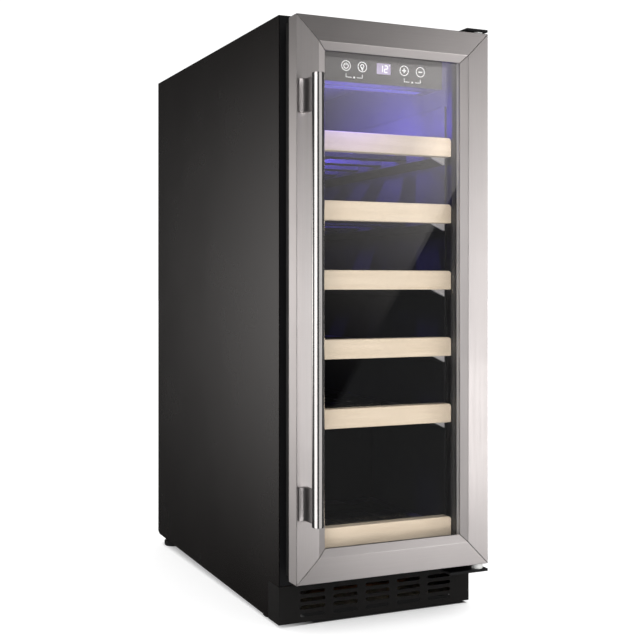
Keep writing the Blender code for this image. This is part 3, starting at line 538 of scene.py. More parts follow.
# %% Polished bar
def polished_bar():
    finish, tree, shader, where = new_finish("polished_bar", metallic=1.0)
    haze = use(tree, blotches, where, scale=30.0, low=0.13, high=0.17)["Value"]
    link(tree, haze, shader.inputs["Roughness"])
    tone = use(tree, blotches, where, scale=12.0, low=0.0, high=1.0)["Value"]
    metal = colour_between(tree, tone, (0.74, 0.725, 0.715), (0.80, 0.785, 0.775))
    link(tree, metal, shader.inputs["Base Color"])
    return finish


BAR_STEEL = polished_bar()

# %% [markdown]
# The cabinet is painted black with a satin sheen. Paint on sheet steel is never quite flat: it
# has a fine orange peel, and a slow change of gloss that shows along a glancing view.

# %% Black paint
def black_paint(name, tone, peel, specular=0.4, low=0.30, high=0.42):
    finish, tree, shader, where = new_finish(name, specular_ior_level=specular)
    cloud = use(tree, blotches, where, scale=5.0, low=0.0, high=1.0)["Value"]
    darker = tuple(0.8 * t for t in tone)
    link(tree, colour_between(tree, cloud, darker, tone), shader.inputs["Base Color"])
    sheen = use(tree, blotches, where, scale=9.0, low=low, high=high)["Value"]
    link(tree, sheen, shader.inputs["Roughness"])
    bump(tree, shader, use(tree, grit, where, scale=900.0)["Height"], peel, 0.05 * MM)
    return finish


CABINET_PAINT = black_paint("cabinet_paint", (0.0062, 0.0048, 0.0042), 0.10, 0.4, 0.25, 0.28)
PLINTH_PAINT = black_paint("plinth_paint", (0.014, 0.013, 0.0125), 0.10, 0.35)
RACK_PAINT = black_paint("rack_paint", (0.012, 0.012, 0.012), 0.15, 0.3, 0.4, 0.5)
BAY_PAINT = black_paint("bay_paint", (0.016, 0.016, 0.017), 0.3, 0.4, 0.35, 0.5)

# %% [markdown]
# Mouldings have a dull grain from the tool they were shaped in. One recipe makes the liner, the
# fans, the seals, the feet and the foam. Each gets its own tone, its range of gloss and its grain.

# %% Moulded plastic and rubber
def moulded(name, tone, low, high, grain, specular=0.3, scale=1800.0):
    finish, tree, shader, where = new_finish(name, specular_ior_level=specular)
    cloud = use(tree, blotches, where, scale=14.0, low=0.0, high=1.0)["Value"]
    darker = tuple(0.85 * t for t in tone)
    link(tree, colour_between(tree, cloud, darker, tone), shader.inputs["Base Color"])
    sheen = use(tree, blotches, where, scale=20.0, low=low, high=high)["Value"]
    link(tree, sheen, shader.inputs["Roughness"])
    bump(tree, shader, use(tree, grit, where, scale=scale)["Height"], grain, 0.08 * MM)
    return finish


LINER_PLASTIC = moulded("liner_plastic", (0.011, 0.011, 0.012), 0.42, 0.52, 0.15, 0.2)
DOOR_PLASTIC = moulded("door_plastic", (0.010, 0.010, 0.010), 0.40, 0.50, 0.15, 0.25)
HOUSING_PLASTIC = moulded("housing_plastic", (0.013, 0.013, 0.014), 0.38, 0.5, 0.2)
FAN_PLASTIC = moulded("fan_plastic", (0.012, 0.012, 0.013), 0.35, 0.45, 0.1)
SEAL_RUBBER = moulded("seal_rubber", (0.013, 0.013, 0.013), 0.62, 0.75, 0.25)
FOOT_RUBBER = moulded("foot_rubber", (0.017, 0.017, 0.017), 0.6, 0.72, 0.35)
BUSH_NYLON = moulded("bush_nylon", (0.80, 0.80, 0.78), 0.45, 0.55, 0.1)
FOAM = moulded("insulating_foam", (0.78, 0.68, 0.45), 0.8, 0.9, 0.6, 0.2, 500.0)
TRAY_PLASTIC = moulded("tray_plastic", (0.02, 0.02, 0.021), 0.45, 0.55, 0.15)

# %% [markdown]
# The shelf ledges are black mouldings whose front ends are painted pale grey: a painted highlight
# where each end faces the light from the front. The highlight is a mask on two coordinates: the first
# few millimetres of the depth are pale where they stand away from the wall, and all the rest is black.

# %% Ledge plastic with a painted highlight on its ends
def ledge_plastic_with_painted_highlight(name, tone, highlight_tone, edge, side):
    finish, tree, shader, where = new_finish(name, specular_ior_level=0.2)
    cloud = use(tree, blotches, where, scale=14.0, low=0.85, high=1.0)["Value"]
    depth = add(tree, "ShaderNodeSeparateXYZ")
    link(tree, where, depth.inputs["Vector"])
    behind = ranged(tree, depth.outputs["Y"], edge - 0.2 * MM, edge + 0.2 * MM)
    reach = calculate(tree, "ABSOLUTE", depth.outputs["X"], 0)
    beside = ranged(tree, reach, side - 0.2 * MM, side + 0.2 * MM)
    # The pale front ends are a painted highlight where the ledges face the light.
    base = colour_between(tree, calculate(tree, "MAXIMUM", behind, beside), highlight_tone, tone)
    shade = add(tree, "ShaderNodeMix", {"Factor": 1.0}, data_type="RGBA", blend_type="MULTIPLY")
    link(tree, base, shade.inputs[6])
    link(tree, cloud, shade.inputs[7])
    link(tree, shade.outputs[2], shader.inputs["Base Color"])
    sheen = use(tree, blotches, where, scale=20.0, low=0.45, high=0.55)["Value"]
    link(tree, sheen, shader.inputs["Roughness"])
    bump(tree, shader, use(tree, grit, where, scale=1800.0)["Height"], 0.12, 0.08 * MM)
    return finish


rail_low, rail_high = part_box("right_rail_panel")
HIGHLIGHT_LENGTH, WALL_FLANGE = 5 * MM, 2 * MM
highlight_edge = rail_low.y + HIGHLIGHT_LENGTH
highlight_side = rail_high.x - WALL_FLANGE
LEDGE_PLASTIC = ledge_plastic_with_painted_highlight(
    "ledge_plastic", (0.010, 0.010, 0.011), (0.62, 0.61, 0.62), highlight_edge, highlight_side
)
print(f"caps end at y {highlight_edge:.3f}")

# %% [markdown]
# Inside are aluminium plate and copper tube, with a cloudy tone and a fine grit. The copper's colour
# is darkened well below bright copper: a painted shade for the dim bay seen through the plinth slots.
# The sheet behind is galvanised. The spacer between the panes is a dull anodised grey, and is made as a
# moulding.

# %% Metals inside and behind
def plain_metal(name, dark, light, low, high, scale=60.0):
    finish, tree, shader, where = new_finish(name, metallic=1.0)
    cloud = use(tree, blotches, where, scale=scale, low=0.0, high=1.0)["Value"]
    link(tree, colour_between(tree, cloud, dark, light), shader.inputs["Base Color"])
    sheen = use(tree, blotches, where, scale=25.0, low=low, high=high)["Value"]
    link(tree, sheen, shader.inputs["Roughness"])
    bump(tree, shader, use(tree, grit, where, scale=1400.0)["Height"], 0.1, 0.05 * MM)
    return finish


SPACER_GREY = moulded("spacer_grey", (0.50, 0.485, 0.485), 0.5, 0.6, 0.1)
PLATE_METAL = plain_metal("plate_aluminium", (0.58, 0.59, 0.60), (0.68, 0.69, 0.70), 0.35, 0.5)
# The copper is darkened as painted shade for the bay behind the plinth.
COPPER_WITH_PAINTED_SHADE = plain_metal("copper_tube", (0.16, 0.085, 0.055), (0.28, 0.15, 0.10), 0.35, 0.5)


def galvanised():
    finish, tree, shader, where = new_finish("galvanised_sheet", metallic=1.0)
    flakes = use(tree, spangle, where)["Shade"]
    tone = colour_between(tree, flakes, (0.40, 0.41, 0.42), (0.60, 0.61, 0.62))
    link(tree, tone, shader.inputs["Base Color"])
    link(tree, ranged(tree, flakes, 0, 1, 0.38, 0.47), shader.inputs["Roughness"])
    bump(tree, shader, flakes, 0.02, 0.01 * MM)
    return finish


ZINC = galvanised()

# %% [markdown]
# The fascias are clear-lacquered beech. The streaks of the grain run from a darker to a paler tone
# and are a little duller where they are dark, and the flecks are laid over them at a third of
# their strength.

# %% Beech
FLECK_STRENGTH = 0.35


def beech():
    finish, tree, shader, where = new_finish("beech", specular_ior_level=0.35)
    grain = use(tree, beech_grain, where)
    base = colour_between(tree, grain["Streaks"], (0.78, 0.645, 0.485), (0.87, 0.74, 0.575))
    fleck = add(tree, "ShaderNodeMix", data_type="RGBA")
    link(tree, calculate(tree, "MULTIPLY", grain["Flecks"], FLECK_STRENGTH), fleck.inputs["Factor"])
    link(tree, base, fleck.inputs[6])
    fleck.inputs[7].default_value = (0.42, 0.27, 0.16, 1)
    link(tree, fleck.outputs[2], shader.inputs["Base Color"])
    link(tree, ranged(tree, grain["Streaks"], 0, 1, 0.58, 0.48), shader.inputs["Roughness"])
    bump(tree, shader, grain["Streaks"], 0.12, 0.05 * MM)
    return finish


BEECH = beech()

# %% [markdown]
# The two panes are coated glass that mirrors more than plain glass. Lamps have to reach the
# shelves behind them, which a glass shader alone won't let them do, so rays from lamps meet a
# transparent shader instead.

# %% Coated glass
def coated_glass(name, tint, ior):
    finish, tree, shader, where = new_finish(name, transmission_weight=1.0, roughness=0.0, ior=ior)
    cloud = use(tree, blotches, where, scale=3.0, low=0.0, high=1.0)["Value"]
    paler = tuple(min(1.0, 1.02 * t) for t in tint)
    link(tree, colour_between(tree, cloud, tint, paler), shader.inputs["Base Color"])
    clear = add(tree, "ShaderNodeBsdfTransparent", {"Color": (*tint, 1)})
    rays = add(tree, "ShaderNodeLightPath").outputs
    either = add(tree, "ShaderNodeMixShader")
    from_lamps = calculate(tree, "MAXIMUM", rays["Is Shadow Ray"], rays["Is Diffuse Ray"])
    link(tree, from_lamps, either.inputs["Fac"])
    link(tree, shader.outputs[0], either.inputs[1])
    link(tree, clear.outputs[0], either.inputs[2])
    link(tree, either.outputs[0], tree.nodes["Material Output"].inputs["Surface"])
    return finish


PANE_GLASS = coated_glass("coated_glass", (0.96, 0.96, 0.96), 1.65)

# %% [markdown]
# The control band is gloss black plastic, hardly textured. The display, its digits, the printed
# marks and the light over the top shelf all glow a little, each with a slight unevenness.

# %% Lit parts and the control band
def gloss_black(name, tone):
    finish, tree, shader, where = new_finish(name)
    cloud = use(tree, blotches, where, scale=20.0, low=0.0, high=1.0)["Value"]
    link(tree, colour_between(tree, cloud, tuple(0.8 * t for t in tone), tone), shader.inputs["Base Color"])
    sheen = use(tree, blotches, where, scale=40.0, low=0.08, high=0.14)["Value"]
    link(tree, sheen, shader.inputs["Roughness"])
    return finish


CONTROL_GLOSS = gloss_black("control_gloss", (0.06, 0.057, 0.058))


def lit(name, dark, light, strength, scale=60.0):
    finish, tree, shader, where = new_finish(name, roughness=0.3, emission_strength=strength)
    cloud = use(tree, blotches, where, scale=scale, low=0.0, high=1.0)["Value"]
    glow = colour_between(tree, cloud, dark, light)
    link(tree, glow, shader.inputs["Base Color"])
    link(tree, glow, shader.inputs["Emission Color"])
    return finish


LENS_LIGHT = lit("lens_light", (0.20, 0.17, 0.85), (0.26, 0.22, 0.95), 0.20)
DISPLAY_LIGHT = lit("display_light", (0.36, 0.30, 0.47), (0.48, 0.42, 0.58), 0.55)
DIGIT_LIGHT = lit("digit_light", (0.92, 0.92, 0.98), (1.0, 1.0, 1.0), 0.9)
MARK_WHITE = lit("mark_white", (0.86, 0.86, 0.86), (0.92, 0.92, 0.92), 0.6)
print("finishes:", len(bpy.data.materials))

# %% [markdown]
# ## The door frame
#
# Four lengths of folded steel meet in mitres at the corners. Each is a welded copy of its CAD
# piece with its folds rounded: the thin dark line that stays open at each mitre is the joint.

# %% Frame members
FOLD_RADIUS, FOLD_ANGLE = 0.9 * MM, 15
for node, finish in (
    ("door_left_stile", STEEL_UPRIGHT),
    ("door_right_stile", STEEL_UPRIGHT),
    ("door_top_rail", STEEL_LEVEL),
    ("door_bottom_rail", STEEL_LEVEL),
):
    member = round_edges(copy_of(node, f"{node}_steel"), FOLD_RADIUS, 2, FOLD_ANGLE)
    fix(member, "door", "brushed_stainless", finish, node)

# %% [markdown]
# ## The handle
#
# The bar is a polished tube with a chamfered plug in each end, on two brackets bent from thick
# strip. The tube is a cylinder whose end faces are inset and sunk, so that its rim shows.

# %% Handle bar
bar_low, bar_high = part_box("handle_bar")
bar_radius = (bar_high.x - bar_low.x) / 2
bpy.ops.mesh.primitive_cylinder_add(
    vertices=64,
    radius=bar_radius,
    depth=bar_high.z - bar_low.z,
    location=(bar_low + bar_high) / 2,
)
bar = bpy.context.object
bar.name = "polished_handle_bar"
CHAMFER, RIM, SINK = 1.2 * MM, 0.9 * MM, 0.8 * MM
open_piece(bar)
for up in (1, -1):
    choose(bar, "faces", facing(z=up))
    bpy.ops.mesh.bevel(offset=CHAMFER, segments=2, affect="EDGES")
    choose(bar, "faces", facing(z=up))
    bpy.ops.mesh.inset(thickness=RIM)
    bpy.ops.mesh.extrude_region_move(TRANSFORM_OT_translate={"value": (0, 0, -up * SINK)})
close_piece()
bpy.ops.object.shade_smooth_by_angle(angle=math.radians(25))
fix(bar, "door", "polished_steel", BAR_STEEL, "handle_bar")

# %% [markdown]
# The brackets are strips of the same steel, bent to stand the bar off the door. Their CAD shape is
# right, so each is a welded copy with eased edges and a duller brushed finish, whose darker colour is a
# painted shade.

# %% Brackets
STRIP_RADIUS = 0.7 * MM
for node in ("upper_handle_bracket", "lower_handle_bracket"):
    bracket = round_edges(copy_of(node, f"{node}_strip"), STRIP_RADIUS, 2)
    fix(bracket, "door", "brushed_stainless", SHADED_STRIP_STEEL, node)

# %% [markdown]
# ## Shelf fascias
#
# Each fascia is a beech board with its upper corners rounded and its edges eased with sandpaper.
# One board is shaped from a block and then copied, each copy with a mesh of its own.

# %% Beech fascias
first_low, first_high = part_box("shelf_1_fascia")
size = first_high - first_low
bpy.ops.mesh.primitive_cube_add(size=1, location=(first_low + first_high) / 2)
board = bpy.context.object
board.scale = size
bpy.ops.object.transform_apply(location=True, rotation=False, scale=True)
open_piece(board, "EDGE")
CORNER_RADIUS, SANDED_RADIUS, SANDED_ANGLE = 5 * MM, 1.3 * MM, 50


def top_end(edge):
    """True for the two short top edges, one at each end of the board."""
    start, end = (vert.co for vert in edge.verts)
    return min(start.z, end.z) > first_high.z - MM and abs(start.x - end.x) < MM


choose(board, "edges", top_end)
bpy.ops.mesh.bevel(offset=CORNER_RADIUS, segments=8, affect="EDGES")
close_piece()
round_edges(board, SANDED_RADIUS, 3, SANDED_ANGLE)
for number in range(1, 7):
    low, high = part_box(f"shelf_{number}_fascia")
    fascia = board.copy()
    fascia.data = board.data.copy()
    fascia.name = f"beech_fascia_{number}"
    bpy.context.scene.collection.objects.link(fascia)
    fascia.location = low - first_low
    fix(fascia, f"shelf_{number}", "beech", BEECH, f"shelf_{number}_fascia")
bpy.data.objects.remove(board)

# %% [markdown]
# ## Marks on the control band
#
# Four touch keys are printed on the gloss band: power, light, plus and minus, each in a ring, with
# a thin brace under each pair. All marks are thin solids: flat shapes, extruded by less than a
# fifth of a millimetre. Two helpers are enough: a bar with cut corners, and a ring that may have
# a gap.

# %% Flat marks
band_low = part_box("control_fascia")[0]
MARK_THICKNESS = 0.15 * MM
KEY_LEVEL = band_low.z + 21.5 * MM
marks = []


def raise_mark(piece, front=band_low.y):
    """Gives a flat shape in the XZ plane its thickness, towards the viewer."""
    only(piece)
    piece.location.y = front
    bpy.ops.object.transform_apply(location=True, rotation=True, scale=True)
    open_piece(piece)
    bpy.ops.mesh.select_all(action="SELECT")
    bpy.ops.mesh.extrude_region_move(TRANSFORM_OT_translate={"value": (0, -MARK_THICKNESS, 0)})
    bpy.ops.mesh.select_all(action="SELECT")
    bpy.ops.mesh.normals_make_consistent(inside=False)
    close_piece()
    return piece


def strip(x, z, width, height, turn=0.0, front=band_low.y):
    """A thin bar with cut corners, centred at (x, z)."""
    tilt = (math.radians(90), math.radians(turn), 0)
    bpy.ops.mesh.primitive_plane_add(size=1, location=(x, 0, z), rotation=tilt)
    piece = bpy.context.object
    piece.scale = (width, height, 1)
    bpy.ops.object.transform_apply(location=False, rotation=False, scale=True)
    open_piece(piece, "VERT")
    bpy.ops.mesh.select_all(action="SELECT")
    bpy.ops.mesh.bevel(offset=0.3 * min(width, height), segments=1, affect="VERTICES")
    close_piece()
    return raise_mark(piece, front)


def part_ring(x, z, radius, thickness, gap=0.0):
    """A flat ring, a disc whose inset middle is deleted, with a gap this far each side of its top."""
    bpy.ops.mesh.primitive_circle_add(
        vertices=40, radius=radius, fill_type="NGON", location=(x, 0, z), rotation=(math.radians(90), 0, 0)
    )
    piece = bpy.context.object
    bpy.ops.object.transform_apply(location=True, rotation=True, scale=True)
    open_piece(piece)
    bpy.ops.mesh.select_all(action="SELECT")
    bpy.ops.mesh.inset(thickness=thickness)
    bpy.ops.mesh.delete(type="FACE")
    found = choose(
        piece,
        "faces",
        lambda f: f.calc_center_median().z > z and abs(f.calc_center_median().x - x) < gap,
    )
    if found:
        bpy.ops.mesh.delete(type="FACE")
    close_piece()
    return raise_mark(piece)


# %% [markdown]
# The power key has a ring with a gap and an upright bar in the gap, and the light key a bulb over
# three short bars. Plus and minus are made of bars. Each pair of keys has a brace under it, which
# says that the two can be pressed together.

# %% Key symbols
POWER, LIGHT, PLUS, MINUS = -57.5 * MM, -33 * MM, 31.5 * MM, 57 * MM
RING, STROKE = 7.0 * MM, 1.7 * MM
for x in (POWER, LIGHT, PLUS, MINUS):
    marks.append(part_ring(x, KEY_LEVEL, RING, 1.0 * MM))
marks.append(part_ring(POWER, KEY_LEVEL - 0.3 * MM, 3.9 * MM, 1.2 * MM, gap=1.7 * MM))
marks.append(strip(POWER, KEY_LEVEL + 2.2 * MM, 1.1 * MM, 4.0 * MM))
marks.append(part_ring(LIGHT, KEY_LEVEL + 0.9 * MM, 3.0 * MM, 1.2 * MM))
for step in range(3):
    drop, width = (2.4 + 1.1 * step) * MM, (3.0 - 0.5 * step) * MM
    marks.append(strip(LIGHT, KEY_LEVEL - drop, width, 0.9 * MM))
for x in (PLUS, MINUS):
    marks.append(strip(x, KEY_LEVEL, 6.6 * MM, STROKE))
marks.append(strip(PLUS, KEY_LEVEL + 2.1 * MM, STROKE, 2.5 * MM))
marks.append(strip(PLUS, KEY_LEVEL - 2.1 * MM, STROKE, 2.5 * MM))
BRACE_LEVEL = KEY_LEVEL - 15 * MM
LINE = 0.7 * MM
for left, right in ((POWER, LIGHT), (PLUS, MINUS)):
    centre = (left + right) / 2
    for side, x in ((1, left), (-1, right)):
        marks.append(strip(x, BRACE_LEVEL + 2.3 * MM, LINE, 5.0 * MM))
        marks.append(strip(x + side * 4.4 * MM, BRACE_LEVEL, 8.0 * MM, LINE))
    marks.append(strip(centre, BRACE_LEVEL, 2.6 * MM, 2.6 * MM, 45))


def joined(pieces, name):
    """Joins the pieces into the first one, under a new name."""
    bpy.ops.object.select_all(action="DESELECT")
    for piece in pieces:
        piece.select_set(True)
    bpy.context.view_layer.objects.active = pieces[0]
    bpy.ops.object.join()
    pieces[0].name = name
    return pieces[0]


fix(joined(marks, "key_marks"), "cabinet", "control_gloss", MARK_WHITE)

# %% [markdown]
# The digits are built as such displays are, from seven bars each. A bar is a thin hexagon, and a
# number is the list of its lit bars.

# %% Display digits
display_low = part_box("display_module")[0]
DIGIT_HEIGHT, DIGIT_WIDTH, BAR = 9.0 * MM, 4.6 * MM, 1.1 * MM
SEGMENTS = {  # (x, z) in halves of the digit, and whether the bar stands up
    "top": (0, 1, False),
    "middle": (0, 0, False),
    "bottom": (0, -1, False),
    "upper_left": (-1, 0.5, True),
    "upper_right": (1, 0.5, True),
    "lower_left": (-1, -0.5, True),
    "lower_right": (1, -0.5, True),
}
LIT = {
    1: ("upper_right", "lower_right"),
    2: ("top", "upper_right", "middle", "lower_left", "bottom"),
}
digits = []
BAR_GAP = 0.5 * MM
for number, x in ((1, -4.2 * MM), (2, 3.4 * MM)):
    for name in LIT[number]:
        across, up, stands = SEGMENTS[name]
        place = (x + across * DIGIT_WIDTH / 2, KEY_LEVEL + up * DIGIT_HEIGHT / 2)
        long = (DIGIT_HEIGHT / 2 if stands else DIGIT_WIDTH) - BAR_GAP
        shape = (BAR, long) if stands else (long, BAR)
        digits.append(strip(*place, *shape, front=display_low.y))
DEGREE_MARK = 1.4 * MM
digits.append(strip(8.9 * MM, KEY_LEVEL + 5 * MM, DEGREE_MARK, DEGREE_MARK, front=display_low.y))
fix(joined(digits, "display_digits"), "cabinet", "blue_display", DIGIT_LIGHT)

# %% [markdown]
# ## Hinges and ledges
#
# The hinge plates are thick black steel that the door's pins turn in, and the ledges carry the
# shelves. Their CAD shapes are right but their edges are dead sharp, so they are rounded copies.

# %% Rounded copies of small parts
for node, radius, slot, finish in (
    ("upper_hinge_plate", 0.5 * MM, "black_steel", BAY_PAINT),
    ("lower_hinge_plate", 0.5 * MM, "black_steel", BAY_PAINT),
    ("left_rail_panel", 0.4 * MM, "grey_plastic", LEDGE_PLASTIC),
    ("right_rail_panel", 0.4 * MM, "grey_plastic", LEDGE_PLASTIC),
):
    fix(round_edges(copy_of(node, f"{node}_rounded"), radius, 2), "cabinet", slot, finish, node)

# %% [markdown]
# ## Finishes of the other pieces
#
# Every other CAD piece keeps its own mesh and only changes its finish. The foam and the parts in
# the compressor bay don't show, but they get finishes too, because the model can be taken apart.

# %% Finishes of the carried-over pieces
dress(CABINET_PAINT, "left_side_panel", "right_side_panel", "top_panel")
dress(PLINTH_PAINT, "plinth_grille")
dress(ZINC, "rear_panel", "compressor_cover", "base_pan")
dress(FOAM, "insulation_foam")
dress(LINER_PLASTIC, "inner_liner", "evaporator_cover")
dress(DOOR_PLASTIC, "door_inner_frame")
dress(HOUSING_PLASTIC, "control_housing", "power_box")
dress(FAN_PLASTIC, "circulation_fan_frame", "circulation_fan_rotor")
dress(FAN_PLASTIC, "condenser_fan_frame", "condenser_fan_rotor")
dress(TRAY_PLASTIC, "drip_tray")
dress(SEAL_RUBBER, "door_gasket", "mains_gland")
dress(FOOT_RUBBER, "front_left_foot", "front_right_foot", "rear_left_foot", "rear_right_foot")
dress(BUSH_NYLON, "upper_hinge_bush", "lower_hinge_bush")
dress(PANE_GLASS, "outer_glass", "inner_glass")
dress(SPACER_GREY, "glazing_spacer")
dress(PLATE_METAL, "evaporator_plate")
dress(COPPER_WITH_PAINTED_SHADE, "condenser_coil")
dress(BAY_PAINT, "compressor", "compressor_bracket")
dress(CONTROL_GLOSS, "control_fascia")
dress(DISPLAY_LIGHT, "display_module")
dress(LENS_LIGHT, "light_lens")
for number in range(1, 7):
    dress(RACK_PAINT, f"shelf_{number}_rack")
print("dressed:", sum(1 for node in CAD.values() if node.material_slots))

# %% [markdown]
# ## Lamps for single finishes
#
# A photographer flags each lamp so that it reaches one surface and leaves the next one alone.
# Light linking does that here: a lamp shines only on the pieces in its own collection. A lamp is
# given its place, the point it faces, its width and height, how bright its face is, and the pieces
# that it lights.

# %% Softboxes
STUDIO_WHITE = (1, 0.97, 0.96)


def softbox(name, place, aim, size, radiance, pieces, colour=STUDIO_WHITE, shape="RECTANGLE"):
    """A lamp that glows evenly, faces a point and lights only the given pieces."""
    data = bpy.data.lights.new(name, "AREA")
    data.shape = shape
    data.size, data.size_y = size
    area = size[0] * size[1] * (math.pi / 4 if shape == "ELLIPSE" else 1)
    data.energy = radiance * math.pi * area
    data.color = colour
    made = bpy.data.objects.new(name, data)
    made.location = place
    made.rotation_euler = (Vector(aim) - Vector(place)).to_track_quat("-Z", "Y").to_euler()
    made.visible_camera = False
    made.visible_transmission = False
    bpy.context.scene.collection.objects.link(made)
    lit_pieces = bpy.data.collections.new(f"lit_by_{name}")
    for piece in pieces:
        lit_pieces.objects.link(piece)
    made.light_linking.receiver_collection = lit_pieces
    return made


def named(*names):
    """The pieces with these names."""
    return [bpy.data.objects[name] for name in names]


# %% [markdown]
# Brushed steel gets a broad oval from the front right, so that it is bright in the middle of the
# door and fades towards its corners. Smaller lamps then correct one length of the frame at a time.

# %% Lamps for the door frame and brackets
door_low, door_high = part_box("door_left_stile")
door_middle = (0, door_low.y, (door_low.z + door_high.z) / 2)
door_top, door_foot = (0, door_low.y, door_high.z), (0, door_low.y, door_low.z)
steel = named("door_left_stile_steel", "door_right_stile_steel")
steel += named("door_top_rail_steel", "door_bottom_rail_steel")
left_stile, right_stile, top_rail, bottom_rail = [[piece] for piece in steel]
strips = named("upper_handle_bracket_strip", "lower_handle_bracket_strip")
softbox("steel_front", (1.35, -2.3, 0.46), door_middle, (1.6, 2.0), 2.2, steel + strips, shape="ELLIPSE")
softbox("steel_right", (2.3, -0.85, 0.45), door_middle, (1.2, 1.8), 1.1, steel)
softbox("steel_left", (-0.43, -2.4, 0.30), door_middle, (0.5, 2.0), 1.6, steel)
softbox("stile_front", (0.9, -2.3, 0.40), door_middle, (0.8, 0.8), 5.4, left_stile, shape="ELLIPSE")
left_side = (door_low.x, door_low.y, 0.4)
softbox("steel_side", (-1.4, 2.3, 0.2), left_side, (0.8, 3.5), 0.75, left_stile + strips)
softbox("strip_front", (0.6, -2.0, 0.4), door_middle, (3.0, 3.0), 5.0, strips)
softbox("rail_front", (1.6, -2.3, -0.5), door_middle, (1.2, 0.9), 0.25, bottom_rail)
softbox("stile_low", (1.6, -2.3, -0.35), door_middle, (0.7, 0.8), 0.4, right_stile)
softbox("rail_below", (1.05, -1.15, 0.10), door_top, (1.2, 0.6), 0.5, top_rail)
softbox("rail_above", (1.1, -1.6, 1.05), door_foot, (1.2, 0.6), 0.75, bottom_rail)
spacer_side = (0.1, door_low.y, 0.45)
spacer = [CAD["glazing_spacer"]]
softbox("spacer_front", (-0.72, -1.5, 0.45), spacer_side, (0.6, 0.9), 4, spacer)

# %% [markdown]
# A round bar mirrors what stands beside it as upright stripes, so it gets one white panel and one
# grey one, both much taller than the door. The beech gets an even light from the front, and a slim
# one with a narrow beam on the right ends of the boards, which the door frame would shade.

# %% Lamps for the bar and the beech
bar_middle = tuple((bar_low + bar_high) / 2)
softbox("bar_white", (-2.03, -0.95, 0.43), bar_middle, (2.1, 6.0), 1.35, [bar])
softbox("bar_grey", (0.55, -2.18, 0.43), bar_middle, (2.1, 6.0), 0.62, [bar])
fascias = named(*(f"beech_fascia_{number}" for number in range(1, 7)))
ledges = named("right_rail_panel_rounded", "left_rail_panel_rounded")
shelves_middle, low_shelf = (0, door_low.y, 0.3), (0, door_low.y, 0.1)
softbox("beech_front", (-0.72, -1.5, 0.25), shelves_middle, (0.6, 0.6), 11, fascias[1:] + ledges)
softbox("low_beech_front", (-0.5, -1.2, 0.3), low_shelf, (0.5, 0.5), 6, fascias[5:])
NARROW_BEAM = math.radians(4)
board_end = (0.112, first_low.y, 0.4)
for name, radiance, boards in (("beech_edge", 4.6, fascias[1:]), ("top_edge", 1.7, fascias[:1])):
    edge_lamp = softbox(name, (-0.6, -1.3, 0.4), board_end, (0.045, 0.8), radiance, boards)
    edge_lamp.data.spread = NARROW_BEAM
print("lamps:", len(bpy.data.lights))

# %% [markdown]
# Black paint shows only what it mirrors, so the outer panels get a ring of softboxes of their own,
# one off each corner and one overhead. Each face then shades from light to dark as it is walked
# round. The door gets one more on its other side.

# %% Softboxes for the outer panels
shell_nodes = ("right_side_panel", "rear_panel", "compressor_cover", "top_panel", "mains_gland")
shell = [CAD[node] for node in shell_nodes]
RING_DISTANCE = 2.6
for corner in range(4):
    angle = math.radians(45 + 90 * corner)
    place = (RING_DISTANCE * math.cos(angle), RING_DISTANCE * math.sin(angle), 0.9)
    softbox(f"shell_{corner}", place, (0, 0, 0.4), (1.3, 1.9), 0.9, shell)
softbox("shell_top", (0.3, 0.9, 2.6), (0, 0, 0.8), (2.2, 1.4), 0.9, shell)
left_panel = [CAD["left_side_panel"]]
softbox("panel_front", (-2.3, -1.5, 0.8), (0, 0, 0.4), (1.2, 1.8), 0.8, left_panel)
softbox("door_other_side", (-1.6, -2.2, 0.9), door_middle, (1.4, 1.6), 1.2, steel)
print("lamps:", len(bpy.data.lights))

# %% [markdown]
# The window card would also show in the steel beside the glass, where there is no veil. It is
# linked to the two panes, as the lamps are linked to their pieces.

# %% Linking the window card to the glass
only_glass = bpy.data.collections.new("mirrors_window_card")
only_glass.objects.link(CAD["outer_glass"])
only_glass.objects.link(CAD["inner_glass"])
window_card.light_linking.receiver_collection = only_glass

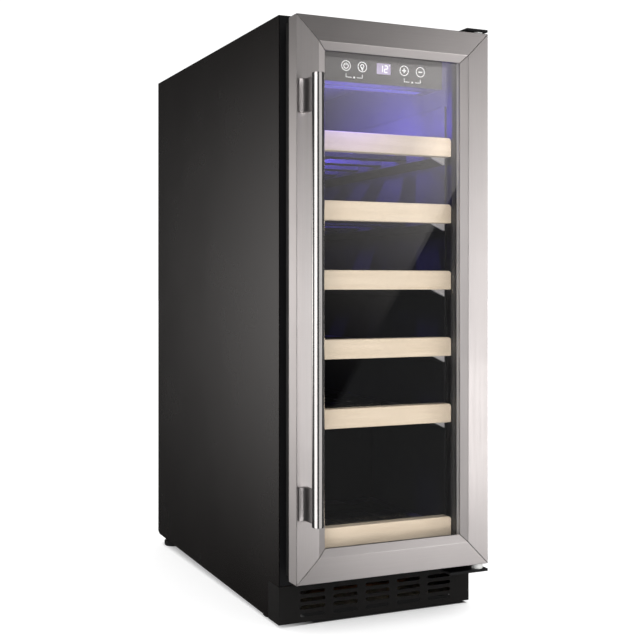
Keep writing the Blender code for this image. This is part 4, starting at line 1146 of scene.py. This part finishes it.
# %% [markdown]
# ## The light in the cavity
#
# Blue-violet diodes shine under the control box. Black plastic takes in nearly all of their light,
# so the lamps that stand for them are strong and are kept off the door and the beech. Only a faint
# one of their own reaches the left half of the top fascia.

# %% Diode lamps
VIOLET, DEEP_VIOLET = (0.22, 0.17, 1.0), (0.16, 0.11, 1.0)
cavity = ledges[:]
cavity += [CAD[node] for node in ("inner_liner", "evaporator_cover")]
cavity += [CAD[f"shelf_{number}_rack"] for number in range(1, 7)]
housing = [CAD["control_housing"]]
lens_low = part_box("light_lens")[0]
under = lens_low.z
over_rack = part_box("shelf_1_rack")[1].z + 20 * MM
depth_middle = lens_low.y + 0.17
wall = (0.119, depth_middle, over_rack)
lens_front = (-0.045, -0.2285, under - 2 * MM)
for name, place, aim, size, radiance, pieces, colour in (
    ("diodes_up", (0, -0.01, over_rack), (0, -0.01, under + 0.1), (0.22, 0.40), 20, cavity, VIOLET),
    ("diodes_back", (-0.06, depth_middle, under - 12 * MM), wall, (0.34, 0.012), 150, cavity, DEEP_VIOLET),
    ("diodes_low", (0, lens_low.y + 0.07, under - 6 * MM), (0, 0.2, 0.5), (0.06, 0.012), 3000, cavity,
     DEEP_VIOLET),
    ("diodes_box", (0, -0.1, over_rack), (0, -0.1, under), (0.22, 0.22), 6, housing, VIOLET),
    ("diodes_front", lens_front, (-0.045, -0.2285, 0), (0.09, 0.006), 110, fascias[:1], VIOLET),
):
    softbox(name, place, aim, size, radiance, pieces, colour)
print("lamps:", len(bpy.data.lights))

# %% [markdown]
# One plain lamp from the right gives the whole object its direction of light.

# %% Key lamp
KEY_SIZE, KEY_WATTS = 1.8, 6
KEY_TURN = (55, 0, 35)  # degrees
key_data = bpy.data.lights.new("key", "AREA")
key_data.size = KEY_SIZE
key_data.energy = KEY_WATTS
key_lamp = bpy.data.objects.new("key", key_data)
key_lamp.location = (1.6, -2.2, 1.9)
key_lamp.rotation_euler = [math.radians(a) for a in KEY_TURN]
key_lamp.visible_glossy = False
key_lamp.visible_transmission = False
bpy.context.scene.collection.objects.link(key_lamp)
print("key lamp:", KEY_WATTS, "W")
